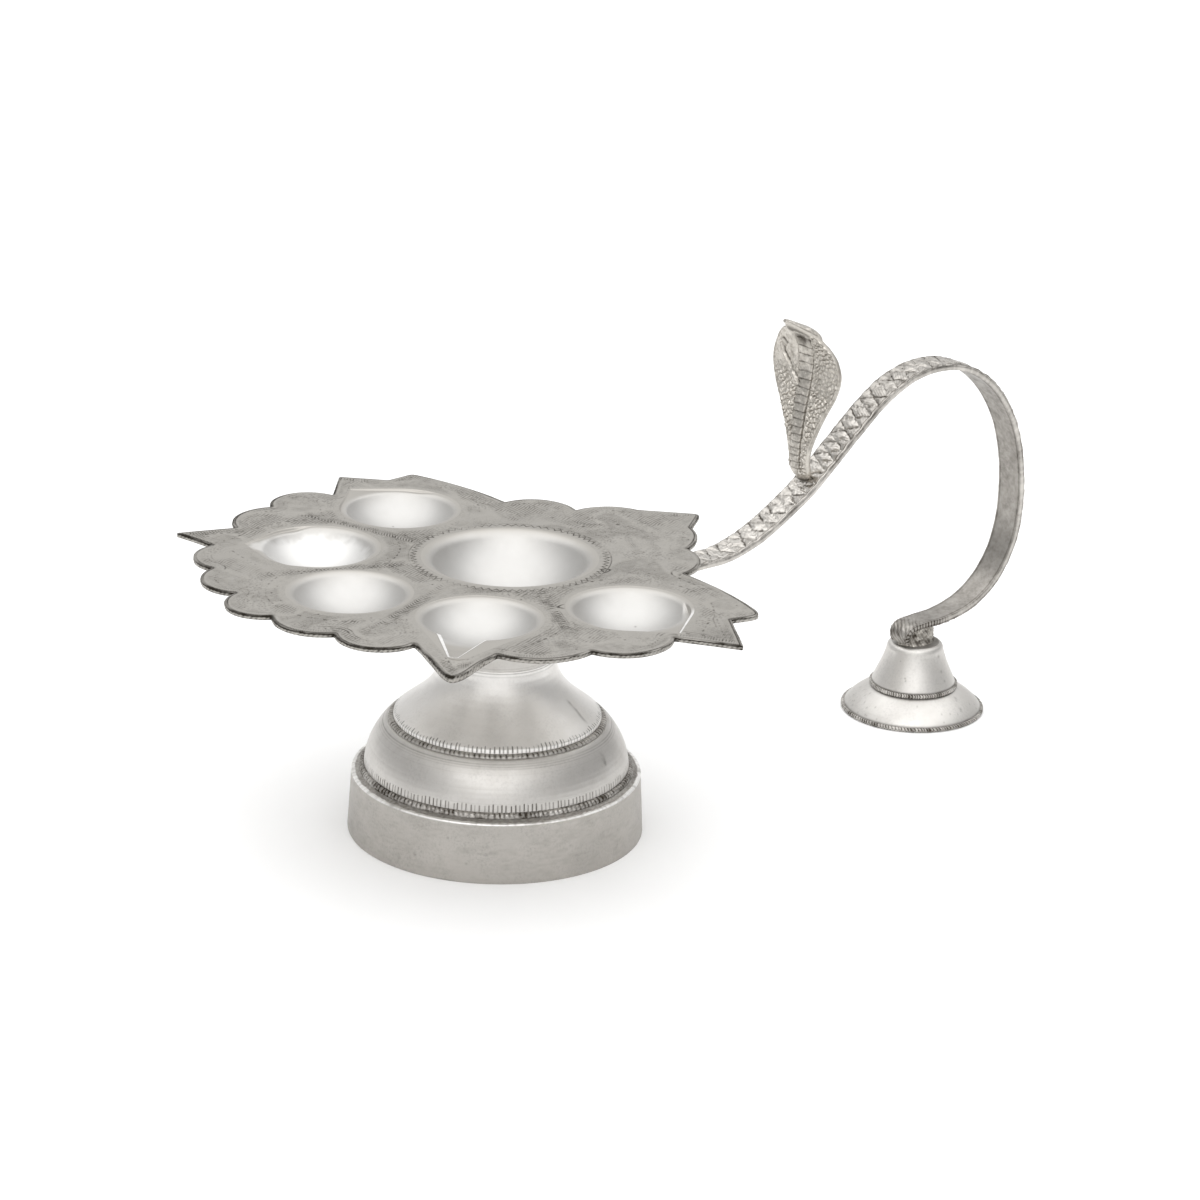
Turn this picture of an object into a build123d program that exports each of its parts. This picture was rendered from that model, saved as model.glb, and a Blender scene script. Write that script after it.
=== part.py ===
from build123d import *
import math
import os

os.makedirs("parts", exist_ok=True)

# ---------------------------------------------------------------- driving dimensions (mm)
# +X runs from the pedestal's axis out along the handle, +Z is up, the floor is Z = 0.
BASE_R = 30.0            # outer radius of the drum where it stands
DRUM_TOP_R = 29.2        # outer radius of the drum at its shoulder
DRUM_TOP_Z = 12.6        # height of the drum's shoulder ledge
DRUM_WALL = 1.3
DOME_BAND_R = 26.7       # radius of the upright band at the foot of the dome
DOME_TOP_R = 22.3        # radius of the dome at its upper ledge
DOME_TOP_Z = 23.3
NECK_BAND_R = 20.9       # radius of the upright band at the foot of the neck
NECK_TOP_R = 11.4
NECK_TOP_Z = 37.6
SHELL = 1.0              # sheet thickness of dome, neck and collar
BAND_H = 1.5             # height of the two upright bands

PLATE_TOP = 57.6         # upper face of the leaf plate
PLATE_T = 1.0
CUP_R = 11.35            # radius of a wick cup's mouth
CUP_DEPTH = 5.6
CUP_WALL = 0.8
LIP = 0.65               # roll of sheet round each mouth
SPOUT_IN = 8.0                       # start of the wick spout from the cup's centre
SPOUT_W_IN, SPOUT_W_OUT = 15.4, 1.8  # its width on the plate at its start and end
SPOUT_D_IN, SPOUT_D_OUT = 2.6, 0.5   # its depth below the plate
BOWL_X, BOWL_Y = 1.6, -0.9   # the hand-set bowl stands a little off the pedestal's axis
BOWL_R = 16.0            # radius of the centre bowl's mouth
BOWL_DEPTH = 9.5
BOWL_WALL = 0.9

STRAP_W = 6.6
STRAP_T = 1.7
STRAP_REST_Z = 46.35     # middle of the strap where it lies under the bowl

FOOT_X = 114.0
FOOT_RIM_R = 15.5

# plate outline, walked clockwise from the tip of the left front petal:
# ("tip" | "notch", x, y) are corners, ("lobe", x, y) bulges the edge between two corners
OUTLINE = [
    ("tip", -45.1, 48.3), ("notch", -43.1, 38.3), ("lobe", -50.3, 34.0),
    ("notch", -50.6, 27.2), ("lobe", -55.9, 23.2), ("notch", -54.8, 13.0),
    ("lobe", -60.2, 8.2), ("notch", -56.15, -1.4), ("lobe", -57.2, -10.5),
    ("notch", -51.9, -16.0), ("lobe", -49.4, -27.3), ("notch", -42.6, -28.8),
    ("tip", -45.8, -44.8), ("notch", -33.0, -42.3), ("lobe", -26.9, -49.7),
    ("notch", -17.2, -50.7), ("lobe", -10.6, -57.0), ("notch", 0.1, -54.2),
    ("tip", 7.8, -65.3), ("notch", 15.3, -52.9), ("tip", 21.9, -54.6),
    ("lobe", 24.3, -41.5), ("notch", 24.5, -27.9), ("lobe", 31.9, -23.7),
    ("notch", 34.2, -16.8), ("lobe", 38.8, -14.1), ("notch", 43.0, -7.5),
    ("tip", 50.0, -2.0), ("notch", 40.9, 7.3), ("lobe", 37.4, 12.2),
    ("notch", 30.4, 14.4), ("lobe", 28.8, 23.1), ("notch", 21.4, 26.5),
    ("lobe", 20.0, 39.5), ("tip", 16.2, 51.6), ("notch", 9.7, 51.2),
    ("tip", 2.4, 58.5), ("notch", -5.4, 49.9), ("lobe", -11.5, 55.4),
    ("notch", -20.2, 50.9), ("lobe", -29.6, 49.8), ("notch", -33.4, 44.2),
]

# middle line of the handle strap in the XZ plane, from under the bowl to the tail end
STRAP_LINE = [
    (-5.0, 46.35), (8.0, 46.35), (22.0, 46.35), (36.0, 46.3), (49.8, 46.5),
    (57.3, 46.8), (65.2, 49.1), (73.0, 53.2), (79.4, 57.3), (85.2, 62.2),
    (91.4, 67.5), (97.2, 72.2), (102.6, 75.5), (108.0, 77.4), (113.7, 78.0),
    (119.7, 77.2), (125.6, 74.6), (130.8, 70.4), (135.2, 64.6), (138.2, 58.0),
    (140.0, 49.5), (140.1, 40.4), (138.2, 32.4), (133.9, 25.9), (128.0, 21.8),
    (121.0, 19.9), (115.0, 19.6), (110.4, 19.4),
]

# the cobra hood: height, middle, half width and thickness of its level sections
HOOD = [
    (56.0, 79.6, 2.4, 2.6), (62.6, 78.4, 2.7, 2.5), (69.0, 78.3, 4.5, 2.4),
    (76.0, 78.9, 7.8, 2.4), (82.5, 79.4, 10.5, 2.6), (87.5, 79.2, 9.4, 3.0),
    (91.2, 78.2, 5.6, 3.6),
]

# wick cups: middle of the mouth, direction of the wick spout in degrees from +X and its reach
# (the front cup is plain and round)
CUPS = {
    "wick_cup_front": (-36.2, 0.8, 180.0, 0.0),
    "wick_cup_front_left": (-26.2, 25.4, 140.0, 14.8),
    "wick_cup_front_right": (-24.2, -25.0, -138.5, 21.6),
    "wick_cup_left": (0.9, 35.0, 95.0, 15.6),
    "wick_cup_right": (3.0, -36.9, -92.0, 16.0),
}

PLATE_BOTTOM = PLATE_TOP - PLATE_T


def walk(points, distance):
    """The points of a line moved sideways by a distance."""
    moved = []
    for i, (x, z) in enumerate(points):
        ax, az = points[max(i - 1, 0)]
        bx, bz = points[min(i + 1, len(points) - 1)]
        run = math.hypot(bx - ax, bz - az)
        moved.append((x - (bz - az) / run * distance, z + (bx - ax) / run * distance))
    return moved


def cap(radius, depth):
    """Sphere radius of a bowl with this mouth radius and depth."""
    return (radius * radius + depth * depth) / (2 * depth)


# ---------------------------------------------------------------- leaf plate
with BuildPart() as leaf_plate:
    with BuildSketch(Plane.XY.offset(PLATE_BOTTOM)):
        with BuildLine():
            corners = [i for i, p in enumerate(OUTLINE) if p[0] != "lobe"]
            for a, b in zip(corners, corners[1:] + corners[:1]):
                start, end = OUTLINE[a][1:], OUTLINE[b][1:]
                if (b - a) % len(OUTLINE) == 2:
                    ThreePointArc(start, OUTLINE[a + 1][1:], end)
                else:
                    Line(start, end)
        make_face()
    extrude(amount=PLATE_T)
    # mouths of the wick cups, with a rolled lip and the slot of the wick spout
    for cx, cy, angle, spout in CUPS.values():
        c, s = math.cos(math.radians(angle)), math.sin(math.radians(angle))
        with BuildSketch(Plane(origin=(cx, cy, PLATE_TOP), x_dir=(c, s, 0), z_dir=(s, -c, 0))):
            with BuildLine():
                Line((0, 1), (CUP_R + LIP, 1))
                Line((CUP_R + LIP, 1), (CUP_R + LIP, 0))
                RadiusArc((CUP_R + LIP, 0), (CUP_R, -LIP), -LIP)
                Line((CUP_R, -LIP), (CUP_R, -3))
                Line((CUP_R, -3), (0, -3))
                Line((0, -3), (0, 1))
            make_face()
        revolve(axis=Axis((cx, cy, 0), (0, 0, 1)), mode=Mode.SUBTRACT)
        if spout:
            for reach, width, depth in ((SPOUT_IN, SPOUT_W_IN, SPOUT_D_IN), (spout, SPOUT_W_OUT, SPOUT_D_OUT)):
                grow = (depth + 1) / depth
                with BuildSketch(Plane(origin=(cx + reach * c, cy + reach * s, PLATE_TOP), x_dir=(-s, c, 0), z_dir=(c, s, 0))):
                    with BuildLine():
                        Polyline((-width / 2 * grow, 1), (0, -depth), (width / 2 * grow, 1), close=True)
                    make_face()
            loft(ruled=True, mode=Mode.SUBTRACT)
    # mouth of the centre bowl
    with BuildSketch(Plane(origin=(BOWL_X, BOWL_Y, 0), x_dir=(1, 0, 0), z_dir=(0, -1, 0))):
        with BuildLine():
            Line((0, PLATE_TOP + 1), (BOWL_R + LIP, PLATE_TOP + 1))
            Line((BOWL_R + LIP, PLATE_TOP + 1), (BOWL_R + LIP, PLATE_TOP))
            RadiusArc((BOWL_R + LIP, PLATE_TOP), (BOWL_R, PLATE_TOP - LIP), -LIP)
            Line((BOWL_R, PLATE_TOP - LIP), (BOWL_R, PLATE_TOP - 3))
            Line((BOWL_R, PLATE_TOP - 3), (0, PLATE_TOP - 3))
            Line((0, PLATE_TOP - 3), (0, PLATE_TOP + 1))
        make_face()
    revolve(axis=Axis((BOWL_X, BOWL_Y, 0), (0, 0, 1)), mode=Mode.SUBTRACT)
leaf_plate.part.label = "leaf_plate"
export_step(leaf_plate.part, "parts/leaf_plate.step")

# ---------------------------------------------------------------- wick cups
for name, (cx, cy, angle, spout) in CUPS.items():
    c, s = math.cos(math.radians(angle)), math.sin(math.radians(angle))
    upright = Plane(origin=(cx, cy, PLATE_TOP), x_dir=(c, s, 0), z_dir=(s, -c, 0))
    axis = Axis((cx, cy, 0), (0, 0, 1))
    inner = cap(CUP_R, CUP_DEPTH)
    mid = inner - CUP_DEPTH            # height of the sphere's middle above the plate
    outer = inner + CUP_WALL
    floor = math.sqrt(inner**2 - (PLATE_T + mid) ** 2)
    edge = math.sqrt(outer**2 - (PLATE_T + mid) ** 2)
    half = math.radians(45)
    with BuildPart() as wick_cup:
        with BuildSketch(upright):
            with BuildLine():
                ThreePointArc((0, mid - outer), (outer * math.sin(half), mid - outer * math.cos(half)), (edge, -PLATE_T))
                Line((edge, -PLATE_T), (0, -PLATE_T))
                Line((0, -PLATE_T), (0, mid - outer))
            make_face()
        revolve(axis=axis)
        # the spout's outside, level with the underside of the plate
        if spout:
            for reach, width, depth in ((SPOUT_IN, SPOUT_W_IN, SPOUT_D_IN), (spout + 1.2, SPOUT_W_OUT, SPOUT_D_OUT + 0.1)):
                slope = width / 2 / depth
                with BuildSketch(Plane(origin=(cx + reach * c, cy + reach * s, PLATE_TOP), x_dir=(-s, c, 0), z_dir=(c, s, 0))):
                    with BuildLine():
                        low = depth + CUP_WALL * 1.15
                        wide = slope * (low - PLATE_T) + 0.25
                        Polyline((-wide, -PLATE_T), (0, -low), (wide, -PLATE_T), close=True)
                    make_face()
            loft(ruled=True)
        with BuildSketch(upright):
            with BuildLine():
                ThreePointArc((0, mid - inner), (inner * math.sin(half), mid - inner * math.cos(half)), (floor, -PLATE_T))
                Line((floor, -PLATE_T), (floor, 1))
                Line((floor, 1), (0, 1))
                Line((0, 1), (0, mid - inner))
            make_face()
        revolve(axis=axis, mode=Mode.SUBTRACT)
        if spout:
            for reach, width, depth in ((SPOUT_IN, SPOUT_W_IN, SPOUT_D_IN), (spout, SPOUT_W_OUT, SPOUT_D_OUT)):
                grow = (depth + 1) / depth
                with BuildSketch(Plane(origin=(cx + reach * c, cy + reach * s, PLATE_TOP), x_dir=(-s, c, 0), z_dir=(c, s, 0))):
                    with BuildLine():
                        Polyline((-width / 2 * grow, 1), (0, -depth), (width / 2 * grow, 1), close=True)
                    make_face()
            loft(ruled=True, mode=Mode.SUBTRACT)
    wick_cup.part.label = name
    export_step(wick_cup.part, f"parts/{name}.step")

# ---------------------------------------------------------------- centre bowl, flat where it lies on the strap
bowl_plane = Plane(origin=(BOWL_X, BOWL_Y, 0), x_dir=(1, 0, 0), z_dir=(0, -1, 0))
bowl_axis = Axis((BOWL_X, BOWL_Y, 0), (0, 0, 1))
bowl_in = cap(BOWL_R, BOWL_DEPTH)
bowl_mid = PLATE_TOP + bowl_in - BOWL_DEPTH
bowl_out = bowl_in + BOWL_WALL
strap_top = STRAP_REST_Z + STRAP_T / 2
with BuildPart() as centre_bowl:
    with BuildSketch(bowl_plane):
        with BuildLine():
            edge = math.sqrt(bowl_out**2 - (bowl_mid - PLATE_BOTTOM) ** 2)
            ThreePointArc((0, bowl_mid - bowl_out), (bowl_out * math.sin(0.5), bowl_mid - bowl_out * math.cos(0.5)), (edge, PLATE_BOTTOM))
            Line((edge, PLATE_BOTTOM), (0, PLATE_BOTTOM))
            Line((0, PLATE_BOTTOM), (0, bowl_mid - bowl_out))
        make_face()
    revolve(axis=bowl_axis)
    # solder pad under the bowl
    with BuildSketch(Plane.XY.offset(strap_top)):
        with Locations((BOWL_X, BOWL_Y)):
            Circle(6.0)
    extrude(amount=1.5)
    with BuildSketch(bowl_plane):
        with BuildLine():
            floor = math.sqrt(bowl_in**2 - (bowl_mid - PLATE_BOTTOM) ** 2)
            ThreePointArc((0, bowl_mid - bowl_in), (bowl_in * math.sin(0.5), bowl_mid - bowl_in * math.cos(0.5)), (floor, PLATE_BOTTOM))
            Line((floor, PLATE_BOTTOM), (floor, PLATE_TOP))
            Line((floor, PLATE_TOP), (0, PLATE_TOP))
            Line((0, PLATE_TOP), (0, bowl_mid - bowl_in))
        make_face()
    revolve(axis=bowl_axis, mode=Mode.SUBTRACT)
    with BuildSketch(Plane.XY.offset(strap_top - 4)):
        Circle(30)
    extrude(amount=4, mode=Mode.SUBTRACT)
centre_bowl.part.label = "centre_bowl"
export_step(centre_bowl.part, "parts/centre_bowl.step")

# ---------------------------------------------------------------- handle strap, the snake's body
with BuildPart() as handle_strap:
    with BuildSketch(Plane.XZ):
        with BuildLine():
            above, below = walk(STRAP_LINE, STRAP_T / 2), walk(STRAP_LINE, -STRAP_T / 2)
            Spline(*above)
            Line(above[-1], below[-1])
            Spline(*below)
            Line(below[0], above[0])
        make_face()
    extrude(amount=STRAP_W / 2, both=True)
handle_strap.part.label = "handle_strap"
export_step(handle_strap.part, "parts/handle_strap.step")

# ---------------------------------------------------------------- neck collar, notched for the strap
with BuildPart() as neck_collar:
    with BuildSketch(Plane.XZ):
        with BuildLine():
            Spline((NECK_TOP_R, NECK_TOP_Z), (11.9, 41.0), (12.6, 46.0), (13.4, 53.5))
            Line((13.4, 53.5), (13.4 - SHELL, 53.5))
            Spline((13.4 - SHELL, 53.5), (12.6 - SHELL, 46.0), (11.9 - SHELL, 41.0), (NECK_TOP_R - SHELL, NECK_TOP_Z))
            Line((NECK_TOP_R - SHELL, NECK_TOP_Z), (NECK_TOP_R, NECK_TOP_Z))
        make_face()
    revolve(axis=Axis.Z)
    # seat for the round of the bowl
    with BuildSketch(bowl_plane):
        with BuildLine():
            side = math.sqrt(bowl_out**2 - (bowl_mid - PLATE_BOTTOM) ** 2)
            ThreePointArc((0, bowl_mid - bowl_out), (bowl_out * math.sin(0.5), bowl_mid - bowl_out * math.cos(0.5)), (side, PLATE_BOTTOM))
            Line((side, PLATE_BOTTOM), (0, PLATE_BOTTOM))
            Line((0, PLATE_BOTTOM), (0, bowl_mid - bowl_out))
        make_face()
    revolve(axis=bowl_axis, mode=Mode.SUBTRACT)
    # notch the strap lies in
    add(handle_strap.part, mode=Mode.SUBTRACT)
neck_collar.part.label = "neck_collar"
export_step(neck_collar.part, "parts/neck_collar.step")

# ---------------------------------------------------------------- pedestal: neck, dome, drum, all hollow
with BuildPart() as pedestal_neck:
    with BuildSketch(Plane.XZ):
        with BuildLine():
            Line((NECK_BAND_R, DOME_TOP_Z), (NECK_BAND_R, DOME_TOP_Z + BAND_H))
            Bezier((NECK_BAND_R, DOME_TOP_Z + BAND_H), (17.0, 27.9), (11.9, 31.0), (NECK_TOP_R, NECK_TOP_Z))
            Line((NECK_TOP_R, NECK_TOP_Z), (NECK_TOP_R - SHELL, NECK_TOP_Z))
            Bezier((NECK_TOP_R - SHELL, NECK_TOP_Z), (11.9 - SHELL, 30.2), (17.0 - SHELL * 0.6, 27.0), (NECK_BAND_R - SHELL, DOME_TOP_Z + BAND_H - 0.8))
            Line((NECK_BAND_R - SHELL, DOME_TOP_Z + BAND_H - 0.8), (NECK_BAND_R - SHELL, DOME_TOP_Z))
            Line((NECK_BAND_R - SHELL, DOME_TOP_Z), (NECK_BAND_R, DOME_TOP_Z))
        make_face()
    revolve(axis=Axis.Z)
pedestal_neck.part.label = "pedestal_neck"
export_step(pedestal_neck.part, "parts/pedestal_neck.step")

with BuildPart() as pedestal_dome:
    with BuildSketch(Plane.XZ):
        with BuildLine():
            Line((DOME_BAND_R, DRUM_TOP_Z), (DOME_BAND_R, DRUM_TOP_Z + BAND_H))
            Bezier((DOME_BAND_R, DRUM_TOP_Z + BAND_H), (26.45, 17.3), (24.9, 20.7), (DOME_TOP_R, DOME_TOP_Z))
            Line((DOME_TOP_R, DOME_TOP_Z), (NECK_BAND_R - 1.8, DOME_TOP_Z))
            Line((NECK_BAND_R - 1.8, DOME_TOP_Z), (NECK_BAND_R - 1.8, DOME_TOP_Z - SHELL))
            Line((NECK_BAND_R - 1.8, DOME_TOP_Z - SHELL), (DOME_TOP_R - 0.9, DOME_TOP_Z - SHELL))
            Bezier((DOME_TOP_R - 0.9, DOME_TOP_Z - SHELL), (24.9 - 0.9, 20.0), (26.45 - SHELL, 17.1), (DOME_BAND_R - SHELL, DRUM_TOP_Z + BAND_H))
            Line((DOME_BAND_R - SHELL, DRUM_TOP_Z + BAND_H), (DOME_BAND_R - SHELL, DRUM_TOP_Z))
            Line((DOME_BAND_R - SHELL, DRUM_TOP_Z), (DOME_BAND_R, DRUM_TOP_Z))
        make_face()
    revolve(axis=Axis.Z)
pedestal_dome.part.label = "pedestal_dome"
export_step(pedestal_dome.part, "parts/pedestal_dome.step")

with BuildPart() as base_drum:
    with BuildSketch(Plane.XZ):
        with BuildLine():
            Polyline(
                (BASE_R - DRUM_WALL, 0), (BASE_R, 0), (BASE_R, 0.5), (29.55, 1.8), (DRUM_TOP_R, DRUM_TOP_Z),
                (DOME_BAND_R - 1.2, DRUM_TOP_Z), (DOME_BAND_R - 1.2, DRUM_TOP_Z - 1.2),
                (DRUM_TOP_R - DRUM_WALL, DRUM_TOP_Z - 1.2), (BASE_R - DRUM_WALL - 0.3, 2.0), close=True,
            )
        make_face()
    revolve(axis=Axis.Z)
    shoulder = base_drum.edges().filter_by(GeomType.CIRCLE).filter_by(lambda e: abs(e.radius - DRUM_TOP_R) < 0.01)
    fillet(shoulder, radius=0.35)
base_drum.part.label = "base_drum"
export_step(base_drum.part, "parts/base_drum.step")


# ---------------------------------------------------------------- bead wires: D-shaped, flat under and behind
with BuildPart() as upper_bead_ring:
    with BuildSketch(Plane.XZ):
        with BuildLine():
            Line((NECK_BAND_R, DOME_TOP_Z), (NECK_BAND_R + 1.2, DOME_TOP_Z))
            ThreePointArc((NECK_BAND_R + 1.2, DOME_TOP_Z), (NECK_BAND_R + 0.95, DOME_TOP_Z + 0.9), (NECK_BAND_R, DOME_TOP_Z + 1.1))
            Line((NECK_BAND_R, DOME_TOP_Z + 1.1), (NECK_BAND_R, DOME_TOP_Z))
        make_face()
    revolve(axis=Axis.Z)
upper_bead_ring.part.label = "upper_bead_ring"
export_step(upper_bead_ring.part, "parts/upper_bead_ring.step")

with BuildPart() as lower_bead_ring:
    with BuildSketch(Plane.XZ):
        with BuildLine():
            Line((DOME_BAND_R, DRUM_TOP_Z), (DOME_BAND_R + 1.2, DRUM_TOP_Z))
            ThreePointArc((DOME_BAND_R + 1.2, DRUM_TOP_Z), (DOME_BAND_R + 0.95, DRUM_TOP_Z + 0.9), (DOME_BAND_R, DRUM_TOP_Z + 1.1))
            Line((DOME_BAND_R, DRUM_TOP_Z + 1.1), (DOME_BAND_R, DRUM_TOP_Z))
        make_face()
    revolve(axis=Axis.Z)
lower_bead_ring.part.label = "lower_bead_ring"
export_step(lower_bead_ring.part, "parts/lower_bead_ring.step")

# ---------------------------------------------------------------- cobra hood, standing on the strap
with BuildPart() as cobra_hood:
    for z, x, half_width, thick in HOOD:
        with BuildSketch(Plane.XY.offset(z)):
            with Locations((x, 0)):
                Ellipse(thick / 2, half_width)
    loft()
    # head, bent over towards the plate
    for x, z, half_width, half_height in ((78.6, 89.6, 5.6, 1.7), (75.6, 92.0, 3.4, 1.3), (72.2, 94.4, 0.9, 0.55)):
        with BuildSketch(Plane(origin=(x, 0, z), x_dir=(0, 1, 0), z_dir=(-0.8, 0, 0.6))):
            Ellipse(half_width, half_height)
    loft()
    add(handle_strap.part, mode=Mode.SUBTRACT)
    keep = cobra_hood.part.solids().sort_by(Axis.Z)[-1]
with BuildPart() as hood_above_strap:
    add(keep)
hood_above_strap.part.label = "cobra_hood"
export_step(hood_above_strap.part, "parts/cobra_hood.step")

# ---------------------------------------------------------------- tail foot
with BuildPart() as foot_bell:
    with BuildSketch(Plane(origin=(FOOT_X, 0, 0), x_dir=(1, 0, 0), z_dir=(0, -1, 0))):
        with BuildLine():
            Spline((14.6, 1.5), (13.1, 3.0), (11.0, 4.4), (9.1, 5.4), tangents=((-0.5, 1.0), (-0.9, 0.42)))
            Line((9.1, 5.4), (9.1, 6.4))
            Line((9.1, 6.4), (6.1, 14.2))
            ThreePointArc((6.1, 14.2), (5.75, 15.05), (4.9, 15.45))
            Line((4.9, 15.45), (0, 15.45))
            Line((0, 15.45), (0, 14.4))
            Line((0, 14.4), (4.8, 14.2))
            Line((4.8, 14.2), (7.9, 6.2))
            Line((7.9, 6.2), (7.9, 4.9))
            Spline((7.9, 4.9), (10.4, 3.4), (12.3, 2.1), (13.2, 1.5))
            Line((13.2, 1.5), (14.6, 1.5))
        make_face()
    revolve(axis=Axis((FOOT_X, 0, 0), (0, 0, 1)))
foot_bell.part.label = "foot_bell"
export_step(foot_bell.part, "parts/foot_bell.step")

with BuildPart() as foot_rim_bead:
    with BuildSketch(Plane(origin=(FOOT_X, 0, 0), x_dir=(1, 0, 0), z_dir=(0, -1, 0))):
        with BuildLine():
            Line((13.0, 0), (15.1, 0))
            ThreePointArc((15.1, 0), (FOOT_RIM_R, 0.8), (14.7, 1.5))
            Line((14.7, 1.5), (13.0, 1.5))
            Line((13.0, 1.5), (13.0, 0))
        make_face()
    revolve(axis=Axis((FOOT_X, 0, 0), (0, 0, 1)))
foot_rim_bead.part.label = "foot_rim_bead"
export_step(foot_rim_bead.part, "parts/foot_rim_bead.step")

with BuildPart() as foot_mid_bead:
    with BuildSketch(Plane(origin=(FOOT_X, 0, 0), x_dir=(1, 0, 0), z_dir=(0, -1, 0))):
        with BuildLine():
            Line((9.1, 5.4), (9.1, 6.4))
            ThreePointArc((9.1, 6.4), (9.75, 5.9), (9.1, 5.4))
        make_face()
    revolve(axis=Axis((FOOT_X, 0, 0), (0, 0, 1)))
foot_mid_bead.part.label = "foot_mid_bead"
export_step(foot_mid_bead.part, "parts/foot_mid_bead.step")

with BuildPart() as foot_collar:
    with BuildSketch(Plane.XY.offset(15.45)):
        with Locations((FOOT_X + 0.5, 0)):
            Ellipse(4.3, 3.4)
    extrude(amount=4.0, taper=8)
    add(handle_strap.part, mode=Mode.SUBTRACT)
    under_tail = foot_collar.part.solids().sort_by(Axis.Z)[0]
with BuildPart() as collar_under_tail:
    add(under_tail)
collar_under_tail.part.label = "foot_collar"
export_step(collar_under_tail.part, "parts/foot_collar.step")
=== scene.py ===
import bpy
import math
import numpy as np
from mathutils import Matrix, Vector
from mathutils.kdtree import KDTree


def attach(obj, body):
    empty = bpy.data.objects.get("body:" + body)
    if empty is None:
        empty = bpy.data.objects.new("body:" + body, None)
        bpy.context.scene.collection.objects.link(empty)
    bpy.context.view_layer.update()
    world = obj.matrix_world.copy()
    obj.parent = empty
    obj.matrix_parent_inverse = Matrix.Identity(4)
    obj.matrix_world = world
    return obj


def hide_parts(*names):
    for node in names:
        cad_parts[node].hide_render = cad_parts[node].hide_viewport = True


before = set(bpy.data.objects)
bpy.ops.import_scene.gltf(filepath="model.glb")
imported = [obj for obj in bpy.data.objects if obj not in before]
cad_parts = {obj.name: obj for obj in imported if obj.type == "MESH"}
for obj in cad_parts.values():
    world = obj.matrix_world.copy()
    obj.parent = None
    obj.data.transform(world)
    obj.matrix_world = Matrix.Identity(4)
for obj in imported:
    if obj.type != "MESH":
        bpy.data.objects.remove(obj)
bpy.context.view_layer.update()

MM = 0.001
TAU = 2 * math.pi

# ------------------------------------------------------------------ sizes, mm (the same frame as the solids)
PLATE_TOP, PLATE_T = 57.6, 1.0
CUP_R, CUP_DEPTH, CUP_WALL = 11.35, 5.6, 0.8
BOWL_X, BOWL_Y, BOWL_R, BOWL_DEPTH, BOWL_WALL = 1.6, -0.9, 16.0, 9.5, 0.9
FOOT_X = 114.0

OUTLINE = [
    ("tip", -45.1, 48.3), ("notch", -43.1, 38.3), ("lobe", -50.3, 34.0),
    ("notch", -50.6, 27.2), ("lobe", -55.9, 23.2), ("notch", -54.8, 13.0),
    ("lobe", -60.2, 8.2), ("notch", -56.15, -1.4), ("lobe", -57.2, -10.5),
    ("notch", -51.9, -16.0), ("lobe", -49.4, -27.3), ("notch", -42.6, -28.8),
    ("tip", -47.6, -46.9), ("notch", -33.0, -42.3), ("lobe", -26.9, -49.7),
    ("notch", -17.2, -50.7), ("lobe", -10.6, -57.0), ("notch", 0.1, -54.2),
    ("tip", 7.8, -65.3), ("notch", 15.3, -52.9), ("tip", 21.9, -54.6),
    ("lobe", 24.3, -41.5), ("notch", 24.5, -27.9), ("lobe", 31.9, -23.7),
    ("notch", 34.2, -16.8), ("lobe", 38.8, -14.1), ("notch", 43.0, -7.5),
    ("tip", 50.0, -2.0), ("notch", 40.9, 7.3), ("lobe", 37.4, 12.2),
    ("notch", 30.4, 14.4), ("lobe", 28.8, 23.1), ("notch", 21.4, 26.5),
    ("lobe", 20.0, 39.5), ("tip", 16.2, 51.6), ("notch", 9.7, 51.2),
    ("tip", 2.4, 58.5), ("notch", -5.4, 49.9), ("lobe", -11.5, 55.4),
    ("notch", -20.2, 50.9), ("lobe", -29.6, 49.8), ("notch", -33.4, 44.2),
]

# middle of the mouth, direction of the wick spout, its reach and the radius of its tip
CUPS = {
    "wick_cup_front": (-36.2, 0.8, 180.0, 0.0, 0.0),
    "wick_cup_front_left": (-26.2, 25.4, 140.0, 14.8, 0.55),
    "wick_cup_front_right": (-24.2, -25.0, -138.5, 22.7, 2.3),
    "wick_cup_left": (0.9, 35.0, 95.0, 15.6, 0.55),
    "wick_cup_right": (3.0, -36.9, -92.0, 16.0, 0.55),
}

STRAP_LINE = [
    (-5.0, 46.35), (8.0, 46.35), (22.0, 46.35), (36.0, 46.3), (49.8, 46.5),
    (57.3, 46.8), (65.2, 49.1), (73.0, 53.2), (79.4, 57.3), (85.2, 62.2),
    (91.4, 67.5), (97.2, 72.2), (102.6, 75.5), (108.0, 77.4), (113.7, 78.0),
    (119.7, 77.2), (125.6, 74.6), (130.8, 70.4), (135.2, 64.6), (138.2, 58.0),
    (140.0, 49.5), (140.1, 40.4), (138.2, 32.4), (133.9, 25.9), (128.0, 21.8),
    (121.0, 19.9), (115.0, 19.6), (111.4, 19.35), (110.0, 18.7), (109.5, 17.6), (109.6, 16.3),
]


# ------------------------------------------------------------------ small maths
def step(a, b, x):
    t = np.clip((x - a) / (b - a), 0, 1)
    return t * t * (3 - 2 * t)


def near(x, middle, half):
    """A smooth bump, 1 at the middle, 0 a few halves away."""
    return np.exp(-((x - middle) / half) ** 2)


def window(x, a, b, soft):
    return step(a - soft, a + soft, x) * (1 - step(b - soft, b + soft, x))


def saw(x, period):
    """Signed distance to the nearest multiple of a period."""
    return (x / period - np.round(x / period)) * period


def lattice(a, b, seed):
    n = (a * 374761393 + b * 668265263 + seed * 1274126177) & 0xFFFFFFFF
    n = ((n ^ (n >> 13)) * 1274126177) & 0xFFFFFFFF
    return ((n ^ (n >> 16)) & 0xFFFF) / 32767.5 - 1.0


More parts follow.
